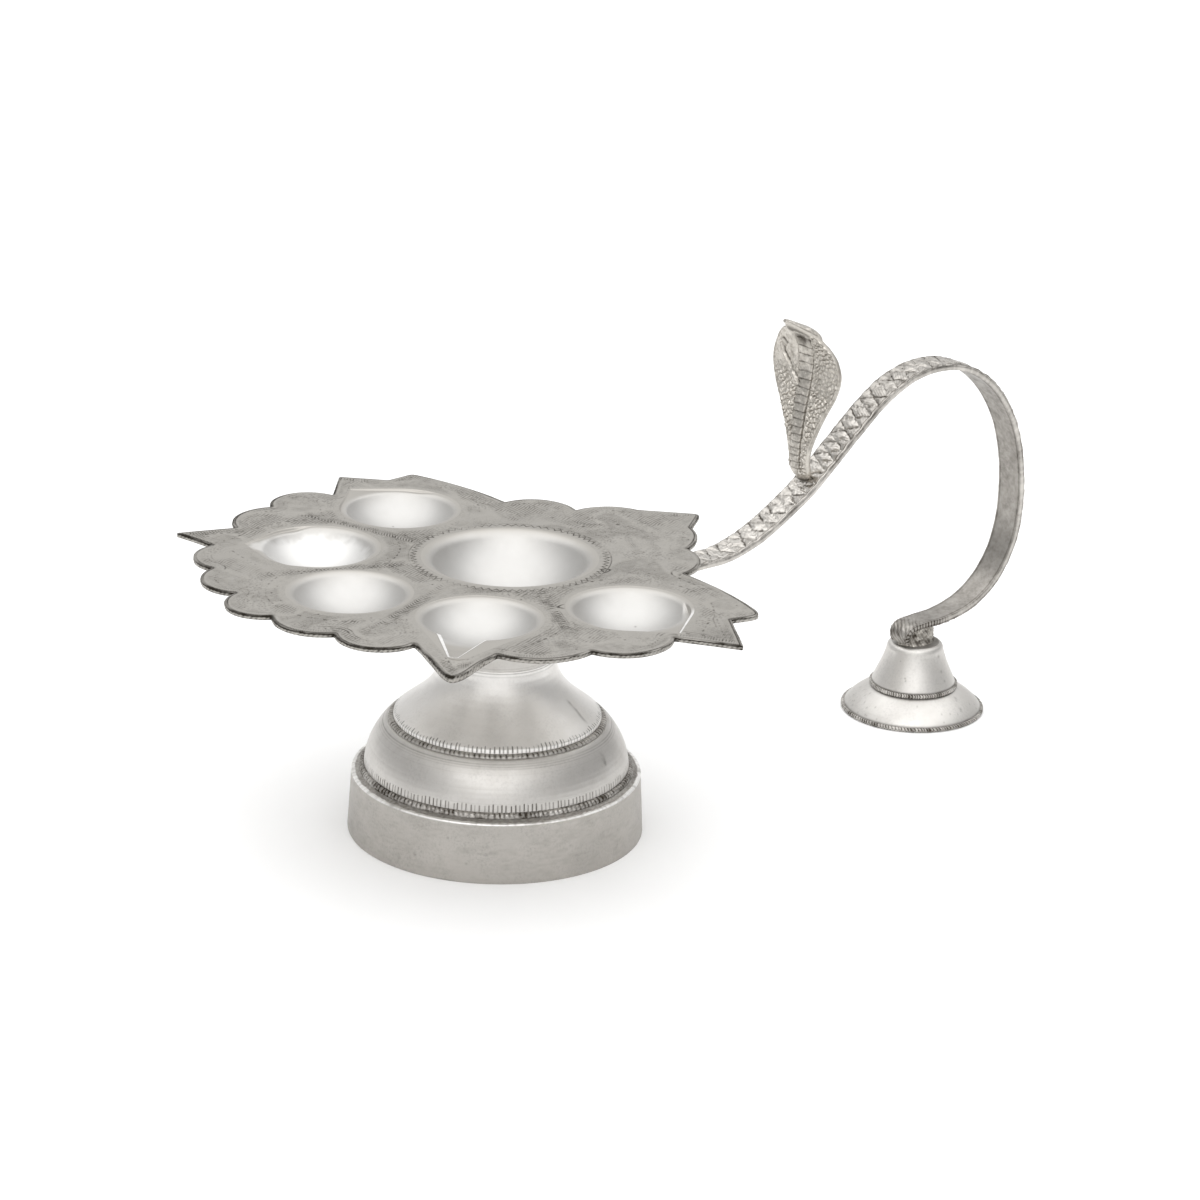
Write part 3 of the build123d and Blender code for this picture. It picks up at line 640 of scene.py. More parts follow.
    # fields of fine hatching, laid one way and the other
    lay = noise(x / 6.5, y / 6.5, 18)
    slant = np.where(lay > 0, 0.86 * x + 0.51 * y, 0.35 * x - 0.94 * y) + 0.28 * noise(x / 1.7, y / 1.7, 19)
    hatched = step(0.10, 0.34, np.abs(lay)) * step(0.9, 1.6, fo) * step(0.9, 1.8, np.minimum(cup_near, db))
    chase(0.034, near(saw(slant, 0.66), 0, 0.16) * hatched * np.clip(0.25 + worn, 0, 1), 0.30)
    # matting with a small round punch between the ornaments
    f1, f2, own = pebbles(x / 0.62, y / 0.62, 16)
    ground = np.clip(0.35 + 0.9 * noise(x / 4.5, y / 4.5, 17), 0, 1) * step(0.8, 2.0, fo) * step(0.6, 1.6, np.minimum(cup_near, db))
    chase(0.024, near(f1, 0, 0.30) * ground * (own > -0.2), 0.30)
    for lx, ly, turn, size in ((-6.6, -29.2, 0.6, 1.2), (12.4, -17.6, 1.9, 0.8)):
        c, s = math.cos(turn), math.sin(turn)
        u, v = (x - lx) * c + (y - ly) * s, -(x - lx) * s + (y - ly) * c
        q = np.hypot(u, v * (1.0 + 0.45 * u / size))
        chase(0.06, near(q, size, 0.17), 0.6)
        chase(0.05, near(v, 0, 0.13) * window(u, -0.5, 0.5, 0.15), 0.5)
    # pits and nicks
    rng = np.random.default_rng(11)
    pits = [(25.1, 5.4, 0.30, 1), (31.7, 2.4, 0.34, 1), (6.4, -16.9 - 4.2, 0.24, 1)]
    pits += [(-32.6 + 3.4 * rng.normal() * 0.8, 15.1 + rng.normal() * 0.5, 0.16 + 0.1 * rng.random(), 0.9) for _ in range(10)]
    pits += [(rng.uniform(-55, 45), rng.uniform(-55, 52), 0.08 + 0.13 * rng.random(), 0.6) for _ in range(150)]
    for px, py, size, dark in pits:
        d = np.hypot(x - px, y - py)
        chase(0.16 * min(size / 0.25, 1.2), near(d, 0, size) * (fo > 0.8), dark)
    # dirt in the notches
    for kind, nx, ny in OUTLINE:
        if kind == "notch":
            d = np.hypot(x - nx, y - ny)
            cav = np.maximum(cav, 0.75 * near(d, 0.0, 0.75))
    # soften everything out beside the mouths, where the lip was burnished
    calm = step(0.05, 0.6, np.minimum(cup_near, db))
    z *= calm
    cav *= 0.25 + 0.75 * calm
    # hand-beaten sheet: a gentle waviness that dies out at the mouths, and a rounded edge
    wave = 0.11 * noise(x / 15.0, y / 15.0, 21) + 0.045 * noise(x / 5.5, y / 5.5, 22)
    wave *= step(0.3, 3.0, np.minimum(cup_near, db))
    # the point of the front petal is turned down a little, with a heavier rim
    droop = 1 - step(1.5, 9.0, np.hypot(x + 46.0, y + 45.0))
    heavy = 1 - step(5.0, 12.0, np.hypot(x + 45.5, y + 43.0))
    lower = -0.11 * np.clip(1 - fo / 0.42, 0, 1) ** 2
    top = PLATE_TOP - 0.02 + z + lower + wave * 0.6 - 0.02
    top = np.minimum(top, PLATE_TOP) - 0.45 * droop
    under = PLATE_TOP - PLATE_T + wave * 0.6 - 0.45 * z + 0.02
    under = np.maximum(under, PLATE_TOP - PLATE_T - 0.04) - 0.45 * droop - 0.45 * heavy * (1 - step(0.3, 2.2, fo))

    verts = [np.column_stack([x, y, top]), np.column_stack([x, y, under])]
    layers = [cav, 0.35 * cav]
    faces = [quads, quads[:, ::-1] + n]
    base = 2 * n
    # walls: rounded and filed by hand along the outline, plain inside the mouths
    seen = np.zeros(n, bool)
    starts = [i for i in following]
    for first_i in starts:
        if seen[first_i]:
            continue
        loop = []
        i = first_i
        while not seen[i]:
            seen[i] = True
            loop.append(i)
            i = following[i]
        loop = np.array(loop)
        q = p[loop]
        k = np.argmin(np.abs(np.column_stack([hole_d[loop], np.zeros(len(loop)) + 1e9])), 1)
        outer = np.median(fo[loop]) < 0.05
        if not outer:
            m = len(loop)
            nxt = np.roll(np.arange(m), -1)
            faces.append(np.stack([loop, loop + n, loop[nxt] + n, loop[nxt]], 1))
            continue
        idx = np.array([tree.find((a[0], a[1], 0))[1] for a in q])
        out = -rim_in[idx]
        out = (np.roll(out, 1, 0) + out * 2 + np.roll(out, -1, 0))
        out /= np.linalg.norm(out, axis=1)[:, None]
        s = rim_s[idx]
        rough_edge = 0.05 * noise(s / 0.8, 0 * s, 31) + 0.05 * noise(s / 3.0, 0 * s, 32) - 0.03 + 0.025 * np.cos(TAU * s / 0.85)
        # a stretch of the right front petal is knurled like a rope
        rope = 1 - step(5.0, 7.5, np.hypot(q[:, 0] + 38.5, q[:, 1] + 44.6))
        rough_edge = rough_edge + rope * 0.05 * np.cos(TAU * s / 0.9)
        notch_dirt = np.zeros(len(q))
        for kind, nx, ny in OUTLINE:
            if kind == "notch":
                notch_dirt = np.maximum(notch_dirt, near(np.hypot(q[:, 0] - nx, q[:, 1] - ny), 0, 0.9))
        # painted shade: the edges turned away from the handle are made blackest
        side_shade = step(-0.10, 0.65, -out[:, 0]) * np.clip(0.8 + 0.5 * noise(s / 4.0, 0 * s, 35), 0, 1)
        # down the wall the colour is darkest at the top arris and at the foot, lightest in the middle
        levels = [(0.055, 0.07), (0.10, 0.16), (0.08, 0.27), (0.11, 0.37), (0.12, 0.55), (0.10, 0.75), (0.04, 0.92)]
        depth_dark = (0.80, 1.00, 0.55, 0.06, 0.04, 0.20, 0.90)
        turned = (0.95, 1.0, 0.95, 0.40, 0.12, 0.05, 0.0)
        tops, unders = top[loop], under[loop]
        previous = loop
        m = len(loop)
        nxt = np.roll(np.arange(m), -1)
        streak = np.clip(0.30 + 0.9 * noise(s / 5.0, 0 * s, 33), 0, 1)
        for level, (push, part) in enumerate(levels):
            ring_xy = q + out * (push + rough_edge * (1 if 0 < level < 6 else 0.4))[:, None]
            ring_z = tops * (1 - part) + unders * part
            verts.append(np.column_stack([ring_xy, ring_z]))
            spots = 0.42 * noise(s / 0.55, 0 * s + level, 34) + 0.26 * np.cos(TAU * (s + 0.12 * level) / 0.95)
            layers.append(np.clip(depth_dark[level] * (0.50 + 0.65 * streak) + spots + turned[level] * side_shade + 0.8 * notch_dirt, 0, 1))
            current = base + np.arange(m)
            base += m
            faces.append(np.stack([previous, current, current[nxt], previous[nxt]], 1))
            previous = current
        faces.append(np.stack([previous, loop + n, loop[nxt] + n, previous[nxt]], 1))
    cav = np.concatenate(layers)
    # the underside of the plate is marked for its lighter colour: painted light, so the neck below mirrors it brighter
    below = np.zeros(len(cav))
    below[n:2 * n] = step(0.2, 0.9, fo)
    return np.vstack(verts), faces, cav, below


v, f, cav, below = leaf_plate()
build("leaf_plate_chased", v, f, plate_silver, ["leaf_plate"], {"cav": cav, "under": below}, sharp=50)


# ------------------------------------------------------------------ wick cups
def shell(surface, thickness, collar):
    """Underside of a dished sheet: the surface moved along its normals. surface is (rings, around, 3)."""
    dr = np.gradient(surface, axis=0)
    da = (np.roll(surface, -1, 1) - np.roll(surface, 1, 1)) / 2
    nrm = np.cross(dr, da)
    nrm /= np.maximum(np.linalg.norm(nrm, axis=2), 1e-9)[..., None]
    nrm[nrm[..., 2] < 0] *= -1
    nrm[0] = (0, 0, 1)
    t = np.repeat(thickness, surface.shape[1]).reshape(surface.shape[:2])
    low = surface - nrm * t[..., None]
    low[-1, :, :2] = surface[-1, :, :2]
    low[-1, :, 2] = collar
    return low


WIPE = math.radians(50.8)


def dish(name, cx, cy, angle, reach, tip_r, sphere, over, leave, roll, wall, rings, around, material, node, deep, highlight_reach, left, right, flash, vee):
    c, s = math.cos(math.radians(angle)), math.sin(math.radians(angle))
    t = np.linspace(-1, 1, around, endpoint=False)
    phi = math.pi * (0.35 * t + 0.65 * t**3) if reach else math.pi * t
    # where each ray meets the mouth's edge
    lo, hi = np.full(around, 2.0), np.full(around, 30.0)
    for _ in range(40):
        mid = (lo + hi) / 2
        out = capsule(mid * np.cos(phi), mid * np.sin(phi), leave, tip_r, reach - tip_r if reach else 0) > 0
        hi = np.where(out, mid, hi)
        lo = np.where(out, lo, mid)
    edge_r = (lo + hi) / 2
    k = np.linspace(0, 1, rings)
    frac = 1 - (1 - k) ** 1.55
    frac = 0.55 * k + 0.45 * frac
    rho = frac[:, None] * edge_r[None, :]
    u, w = rho * np.cos(phi)[None, :], rho * np.sin(phi)[None, :]
    touch = leave * sphere / (sphere + roll)
    bowl = np.where(rho < touch, np.sqrt(np.maximum(sphere**2 - rho**2, 0)) - over,
                    roll - np.sqrt(np.maximum(roll**2 - np.clip(leave - rho, 0, None) ** 2, 0)))
    bowl = np.where(rho > leave, 0, bowl)
    depth = bowl
    # burnished inside a round patch; the lip keeps the plate's grey
    uneven = 0.8 * noise(u / 1.6, w / 1.6, 44) + 0.5 * noise(u / 0.55, w / 0.55, 45)
    gx, gy = u * c - w * s, u * s + w * c
    ws, wc = math.sin(WIPE), math.cos(WIPE)
    wiped = np.hypot((gx * wc + gy * ws) / 10.6, (gx * ws - gy * wc) / 10.6)
    lip_grey_and_highlight = step(0.80, 1.08, wiped + 0.035 * uneven)
    lip_grey_and_highlight = lip_grey_and_highlight * (0.30 + 0.70 * step(10.4, 12.4, rho))
    # painted highlight: a bright patch from the middle of the cup out towards the spout, on the cups given a reach for
    # it
    turn = np.arctan2(gy, gx)
    painted_highlight = np.zeros_like(rho)
    if highlight_reach:
        painted_highlight = 0.42 * (1 - step(-1.2, 0.6, capsule(u, w, 10.2, 2.6, highlight_reach) + 0.6 * uneven))
    crease = np.zeros_like(rho)
    if reach:
        # wick spout: a shallow trough with crisp sides that runs up to a point
        if vee:
            tip, l0, l1, r0, r1 = vee
            on_left = (w + l0 + l1 * (tip - u)) / math.hypot(1, l1)
            on_right = (r0 + r1 * (tip - u) - w) / math.hypot(1, r1)
            inside = np.minimum(np.minimum(on_left, on_right), tip - u)
            border = np.where(on_left < on_right, left, right) * (0.55 + 0.55 * np.clip((tip - u) / 12.0, 0, 1)) + 0.04
        else:
            inside = np.clip(-capsule(u, w, leave, tip_r, reach - tip_r), 0, None)
            border = np.where(w < 0, left, right) * (0.55 + 0.8 * np.clip((reach - u) / 12.0, 0, 1)) + 0.04
        floor = deep * (0.45 + 0.145 * np.clip(reach - u, 0, 9.0)) * step(border, border + 0.5, inside) * step(1.5, 6.0, u)
        blend = 0.25
        hgt = np.clip(0.5 + 0.5 * (bowl - floor) / blend, 0, 1)
        depth = floor * (1 - hgt) + bowl * hgt + blend * hgt * (1 - hgt)
        depth = depth * step(0.0, 0.3, np.maximum(inside, leave - rho)) ** 0.5
        # painted highlight along the borders of the spout, wider towards the cup
        along_edge = step(8.0, 9.6, u) if vee else step(6.0, 9.0, u)
        strip = step(-0.06, 0.04, inside) * (1 - step(border, border + 0.10, inside)) * (border > 0.1) * along_edge
        painted_highlight = np.maximum(painted_highlight, np.clip(strip * (0.78 + 0.22 * uneven), 0, 1))
        crease = along_edge * deep * near(inside, border + 0.12, 0.10) * 0.40 + along_edge * deep * near(inside, -0.10, 0.09) * 0.25
    dent = 0.03 * noise(u / 5.0, w / 5.0, 41) * step(leave, leave - 3.0, rho)
    depth[-1] = 0
    z = PLATE_TOP - 0.04 - depth + dent * (depth > 0.5)
    x, y = cx + u * c - w * s, cy + u * s + w * c
    surface = np.stack([x, y, z], -1)
    thick = np.full(rings, wall)
    thick[-6:] = np.linspace(wall, 0.96, 6)
    low = shell(surface, thick, PLATE_TOP - PLATE_T + 0.02)
    top_v, low_v = surface.reshape(-1, 3), low.reshape(-1, 3)
    n = len(top_v)
    faces = [grid_faces(rings, around, False, True), grid_faces(rings, around, False, True, n, True)]
    last = (rings - 1) * around + np.arange(around)
    nxt = np.roll(last, -1)
    faces.append(np.stack([last, nxt, nxt + n, last + n], 1))
    # the first ring lies on one point: join it up with a fan
    tops = np.vstack([top_v, low_v])
    tops, faces = close_middle(tops, faces, around, n)
    soot = np.clip(0.25 * noise(x / 2.5, y / 2.5, 43) - 0.12, 0, 1) * 0.3
    marks = near(np.hypot(u + 2.0, w - 3.1), 0, 0.22) + near(np.hypot(u - 3.4, w + 1.2), 0, 0.18)
    cav = np.concatenate([(crease + soot * 0.5 + 0.5 * marks).ravel(), np.full(n, 0.06)])
    dulls = np.concatenate([lip_grey_and_highlight.ravel(), np.full(n, 0.15)])
    return build(name, tops, faces, material, [node], {"cav": cav, "lip_grey_and_highlight": dulls, "painted_highlight": np.concatenate([painted_highlight.ravel(), np.zeros(n)])}, sharp=60)


def close_middle(v, faces, around, n):
    """Replaces the ring of equal points at the middle of a dish by one point on each side."""
    for offset in (0, n):
        ring = offset + np.arange(around)
        mapped = np.arange(len(v))
        mapped[ring] = offset
        faces = [mapped[np.asarray(f)] for f in faces]
    clean = []
    for f in faces:
        f = np.asarray(f)
        if f.shape[1] == 4:
            tri = (f[:, 0] == f[:, 1]) | (f[:, 1] == f[:, 2]) | (f[:, 2] == f[:, 3]) | (f[:, 3] == f[:, 0])
            clean.append(f[~tri])
            rest = [list(dict.fromkeys(q.tolist())) for q in f[tri]]
            if rest:
                clean.append(np.array(rest))
        else:
            clean.append(f)
    return v, clean


# for each cup: depth of the spout, reach of the painted highlight in the hollow, widths of the spout's crisp sides left
# and right (a highlight is painted along them), a number for the ends of the lip that is not used, and where the spout
# is a narrow V: its tip, and the offset and slope of its left and right side
FINISH = {
    "wick_cup_front": (0.0, 0.0, 0.0, 0.0, 1.0, None),
    "wick_cup_front_left": (0.35, 11.2, 0.0, 0.0, 0.0, None),
    "wick_cup_front_right": (1.0, 0.0, 0.62, 0.30, 1.0, (21.8, 1.7, 0.388, 0.25, 0.315)),
    "wick_cup_left": (0.28, 0.0, 0.0, 0.0, 0.7, None),
    "wick_cup_right": (0.7, 0.0, 0.0, 0.45, 1.0, None),
}
for node, (cx, cy, angle, reach, tip_r) in CUPS.items():
    dish(node + "_dish", cx, cy, angle, reach, tip_r, CUP_S, CUP_O, CUP_L, CUP_ROLL, CUP_WALL, 96, 360, polished_silver, node, *FINISH[node])


# ------------------------------------------------------------------ centre bowl, flattened under where it lies on the strap
def centre_bowl():
    rings, around = 90, 320
    k = np.linspace(0, 1, rings)
    rho = (0.5 * k + 0.5 * (1 - (1 - k) ** 1.5)) * BOWL_L
    touch = BOWL_L * BOWL_S / (BOWL_S + BOWL_ROLL)
    depth = np.where(rho < touch, np.sqrt(np.maximum(BOWL_S**2 - rho**2, 0)) - BOWL_O,
                     BOWL_ROLL - np.sqrt(np.maximum(BOWL_ROLL**2 - np.clip(BOWL_L - rho, 0, None) ** 2, 0)))
    th = np.linspace(0, TAU, around, endpoint=False)
    r, t = np.meshgrid(rho, th, indexing="ij")
    d = np.repeat(depth[:, None], around, 1)
    x, y = BOWL_X + r * np.cos(t), BOWL_Y + r * np.sin(t)
    dent = 0.05 * noise(x / 6.0, y / 6.0, 51) * (1 - step(touch - 3, touch, r))
    z = PLATE_TOP - 0.04 - d + dent
    speck = np.hypot(x - 1.0, y - 3.0)
    z -= 0.12 * near(speck, 0, 0.25)
    surface = np.stack([x, y, z], -1)
    thick = np.full(rings, BOWL_WALL)
    thick[-6:] = np.linspace(BOWL_WALL, 0.96, 6)
    low = shell(surface, thick, PLATE_TOP - PLATE_T + 0.02)
    low[..., 2] = np.maximum(low[..., 2], 47.2)
    top_v, low_v = surface.reshape(-1, 3), low.reshape(-1, 3)
    n = len(top_v)
    faces = [grid_faces(rings, around, False, True), grid_faces(rings, around, False, True, n, True)]
    last = (rings - 1) * around + np.arange(around)
    nxt = np.roll(last, -1)
    faces.append(np.stack([last, nxt, nxt + n, last + n], 1))
    vv, faces = close_middle(np.vstack([top_v, low_v]), faces, around, n)
    uneven = 0.8 * noise(x / 1.9, y / 1.9, 52) + 0.5 * noise(x / 0.6, y / 0.6, 53)
    gx, gy = x - BOWL_X, y - BOWL_Y
    wiped = np.hypot((gx * math.cos(WIPE) + gy * math.sin(WIPE)) / 16.0, (gx * math.sin(WIPE) - gy * math.cos(WIPE)) / 16.0)
    lip_grey_and_highlight = step(0.80, 1.08, wiped + 0.03 * uneven) * (0.30 + 0.70 * step(14.8, 17.2, r))
    cav = 0.8 * near(speck, 0, 0.25)
    build("centre_bowl_dish", vv, faces, polished_silver, ["centre_bowl"],
          {"cav": np.concatenate([cav.ravel(), np.full(n, 0.12)]), "lip_grey_and_highlight": np.concatenate([lip_grey_and_highlight.ravel(), np.full(n, 0.15)])}, sharp=60)


centre_bowl()


# ------------------------------------------------------------------ pedestal
def teeth(theta, number, width, phase=0.0):
    """Dark incised strokes round an axis, 1 in a stroke."""
    pitch = TAU / number
    return near(saw(theta + phase * pitch + 0.2 * pitch * loop_noise(theta / TAU % 1.0, number, 61), pitch) / pitch, 0, width)


def fluted(z0, z1, number, depth, grooves=(), band_dark=0.9):
    def shift(t, r, z):
        stroke = teeth(t, number, 0.135) * window(z, z0, z1 + 0.22 * loop_noise(t / TAU % 1.0, number, 64), 0.14)
        fade = np.clip(0.66 + 0.22 * loop_noise(t / TAU % 1.0, 23, 62) + 0.30 * loop_noise(t / TAU % 1.0, number, 65), 0.12, 1)
        dr = -depth * stroke * fade
        cav = stroke * band_dark * fade
        dz = np.zeros_like(dr)
        for gz, gr, half, dark in grooves:
            g = near(np.hypot(z - gz, r - gr), 0, half)
            dr = dr - 0.07 * g
            cav = np.maximum(cav, dark * g)
        wob = 0.03 * loop_noise(t / TAU % 1.0, 7, 63)
        return dr + wob, dz, cav
    return shift


# neck: flared and concave, with a soldered seam
neck_out = np.vstack([
    line((20.9, 23.32), (20.9, 24.05), 5),
    line((20.9, 24.1), (20.85, 24.62), 8),
    bezier((20.8, 24.8), (17.0, 27.9), (11.9, 31.0), (11.4, 37.3), 90),
    line((11.4, 37.4), (11.28, 37.6), 3),
])
neck_in = np.vstack([
    line((10.6, 37.6), (10.45, 37.5), 2),
    bezier((10.4, 37.3), (10.9, 30.2), (16.4, 27.0), (19.9, 24.0), 40),
    line((19.9, 23.9), (19.9, 23.35), 3),
])


def neck_shift(t, r, z):
    dr, dz, cav = fluted(24.05, 25.20, 148, 0.12, band_dark=1.0)(t, r, z)
    seam_at = np.radians(np.interp(z, [25.0, 28.0, 36.0], [-62.0, -60.0, -66.0]))
    seam = near(np.angle(np.exp(1j * (t - seam_at))) * r + 0.35 * noise(z / 1.4, 0 * z, 66), 0, 0.42) * window(z, 26.0, 29.6, 0.6)
    seam = seam * np.clip(0.75 + 0.6 * noise(z / 1.1, 0 * z, 68), 0, 1)
    outer = r > (neck_middle(z))
    dr = np.where(outer, dr + 0.05 * seam, 0)
    cav = np.where(outer, np.maximum(cav, 0.38 * seam), 0.1)
    # tool chatter where the neck was drawn
    dr = dr + np.where(outer, 0.006 * np.sin(z * 5.3 + 0.4 * np.sin(3 * t)) * step(25.8, 26.6, z), 0)
    # two dark grooved lines at the joint with the collar
    ring = near(z, 37.12, 0.10) + near(z, 36.55, 0.09)
    cav = np.where(outer, np.maximum(cav, 0.55 * ring), cav)
    return dr - np.where(outer, 0.05 * ring, 0), dz, cav


def neck_middle(z):
    """Radius between the two faces of the neck's sheet."""
    p = bezier((20.4, 24.4), (16.7, 27.45), (11.4, 30.6), (10.9, 37.6), 60)
    zz, rr = p[:, 1], p[:, 0]
    return np.interp(z, zz, rr)


v, f, cav = revolve(thin(np.vstack([neck_out, neck_in]).tolist(), 0.03), 1216, shift=neck_shift)
build("pedestal_neck_spun", v, [f], neck_silver, ["pedestal_neck"], {"cav": cav}, sharp=45)

# dome: convex, with fine rings turned under the bead wire
dome_out = np.vstack([
    line((26.7, 12.40), (26.7, 13.4), 5),
    line((26.7, 13.5), (26.7, 13.9), 5),
    bezier((26.7, 14.0), (26.45, 17.3), (24.9, 20.7), (22.55, 23.1), 130),
    np.array([(22.42, 23.22), (22.22, 23.3)]),
    line((22.1, 23.3), (19.3, 23.3), 8),
])
dome_in = np.vstack([
    line((19.1, 23.2), (19.1, 22.35), 3),
    line((19.3, 22.3), (21.2, 22.3), 4),
    bezier((21.4, 22.3), (24.0, 20.0), (25.5, 17.1), (25.8, 14.1), 40),
    line((25.8, 13.9), (25.8, 12.45), 4),
])


def dome_shift(t, r, z):
    dr, dz, cav = fluted(14.0, 15.40, 190, 0.12, band_dark=1.0)(t, r, z)
    outer = (z > 22.32) | (r > np.interp(z, [12, 14, 17, 20, 22.4], [26.2, 26.2, 25.75, 24.25, 22.0]))
    for gz, half, dark in ((22.62, 0.10, 0.5), (22.25, 0.08, 0.34), (21.85, 0.07, 0.24), (20.9, 0.05, 0.12), (18.3, 0.05, 0.10), (15.6, 0.06, 0.18)):
        g = near(z, gz, half) * (0.6 + 0.4 * loop_noise(t / TAU % 1.0, 11, int(gz * 10)))
        dr = dr - 0.045 * g * dark * 2
        cav = np.maximum(cav, dark * g)
    seam_at = math.radians(-69.0)
    seam = near(np.angle(np.exp(1j * (t - seam_at))) * r + 0.3 * noise(z / 1.4, 0 * z, 67), 0, 0.50) * window(z, 18.8, 21.2, 0.6) * np.clip(0.6 + noise(z / 0.5, t * 40.0, 69), 0, 1)
    dr = dr + 0.05 * seam
    cav = np.maximum(cav, 0.42 * seam)
    chatter = 0.005 * np.sin(z * 6.1 + 0.5 * np.sin(2 * t)) * window(z, 15.2, 22.2, 0.4)
    return np.where(outer, dr + chatter, 0), dz, np.where(outer, cav, 0.1)


v, f, cav = revolve(thin(np.vstack([dome_out, dome_in]).tolist(), 0.03), 1520, shift=dome_shift)
build("pedestal_dome_spun", v, [f], spun_silver, ["pedestal_dome"], {"cav": cav}, sharp=45)

# drum: satin wall with a small rolled edge on the shoulder
drum_out = np.vstack([
    line((28.75, 0.0), (29.6, 0.0), 4),
    np.array([(29.78, 0.05), (29.88, 0.16), (29.9, 0.35)]),
    line((29.89, 0.6), (29.24, 11.9), 80),
    np.array([(29.22, 12.06), (29.16, 12.24), (29.06, 12.38), (28.94, 12.46), (28.80, 12.49), (28.66, 12.50)]),
    bezier((28.5, 12.53), (28.1, 12.64), (27.8, 12.85), (27.4, 13.02), 16),
    line((27.2, 13.06), (26.8, 13.06), 3),
    line((26.72, 12.9), (26.72, 12.36), 3),
    line((26.5, 12.32), (25.6, 12.32), 5),
])
drum_in = np.vstack([
    line((25.5, 12.2), (25.5, 11.5), 3),
    line((25.7, 11.4), (27.8, 11.4), 5),
    line((27.9, 11.2), (28.4, 2.0), 20),
    line((28.42, 1.8), (28.7, 0.1), 4),
])


def drum_shift(t, r, z):
    outer = (r > 28.85) & (z > 0.1) & (z < 12.2)
    wob = 0.06 * loop_noise(t / TAU % 1.0, 9, 71) + 0.03 * loop_noise(t / TAU % 1.0, 37, 73) * (0.5 + 0.5 * noise(t * 3.0, z / 5.0, 72))
    wob = wob + 0.012 * noise(t * 2.2, z / 0.55, 74) - 0.06
    dents = np.zeros_like(r)
    rng = np.random.default_rng(5)
    for _ in range(46):
        a, h, size = rng.uniform(0, TAU), rng.uniform(1.5, 11.5), rng.uniform(0.18, 0.6)
        d = np.hypot(np.angle(np.exp(1j * (t - a))) * 29.4, z - h)
        dents += rng.uniform(0.02, 0.05) * near(d, 0, size * 0.6)
    ledge = step(12.50, 12.60, z) * (r < 28.7)
    brown = 0.34 + 0.20 * noise(t * 6.0, r / 0.7, 76) + 0.22 * noise(t * 70.0, r / 0.25, 79)
    cav = ledge * np.clip(brown, 0.05, 0.9) + np.clip(dents * 6, 0, 0.45) * outer
    cav = cav + outer * np.clip(0.07 * noise(t * 7.0, z / 2.2, 77) + 0.08 * noise(t * 22.0, z / 0.45, 78), 0, 0.3)
    return np.where(outer, wob - dents, 0), np.zeros_like(r), cav


v, f, cav = revolve(thin(np.vstack([drum_out, drum_in]).tolist(), 0.02), 720, shift=drum_shift)
rad, height = np.hypot(v[:, 0], v[:, 1]), v[:, 2]
around = np.arctan2(v[:, 1], v[:, 0]) / TAU % 1.0
# painted highlight: a near-white band along the rolled top edge of the drum, broken up along its length
painted_edge_highlight = window(rad, 28.45 + 0.12 * loop_noise(around, 240, 80), 29.3, 0.08) * step(12.06, 12.24, height) * np.clip(0.80 + 0.35 * loop_noise(around, 60, 70) + 0.35 * loop_noise(around, 360, 86), 0, 1)
build("base_drum_satin", v, [f], drum_silver, ["base_drum"], {"cav": cav, "lip_grey_and_highlight": painted_edge_highlight}, sharp=45)

# collar under the plate, flared, cut to the round of the bowl that sits in it a little off the axis
collar = np.vstack([
    bezier((11.4, 37.62), (11.75, 40.6), (12.4, 46.0), (13.2, 52.0), 60),
    line((12.9, 52.1), (12.5, 52.0), 3),
    bezier((12.2, 51.9), (11.4, 46.0), (10.75, 40.6), (10.45, 37.62), 30),
])


def collar_shift(t, r, z):
    outer = r > np.interp(z, [37.6, 40.6, 46.0, 52.0], [10.95, 11.2, 11.9, 12.65])
    flutes = 0.5 * near(z, 38.05, 0.10)
    wob = 0.04 * loop_noise(t / TAU % 1.0, 8, 75)
    reach = np.hypot(13.0 * np.cos(t) - BOWL_X, 13.0 * np.sin(t) - BOWL_Y)
    seat = PLATE_TOP + BOWL_O - np.sqrt((BOWL_S + BOWL_WALL) ** 2 - reach**2) + 0.25
    lift = (seat - 52.0) * step(40.0, 52.0, z)
    return np.where(outer, wob - 0.05 * flutes, 0), lift, np.where(outer, 0.4 * flutes, 0.15)


v, f, cav = revolve(thin(collar.tolist(), 0.03), 360, shift=collar_shift)
build("neck_collar_spun", v, [f], collar_silver, ["neck_collar"], {"cav": cav}, sharp=45)


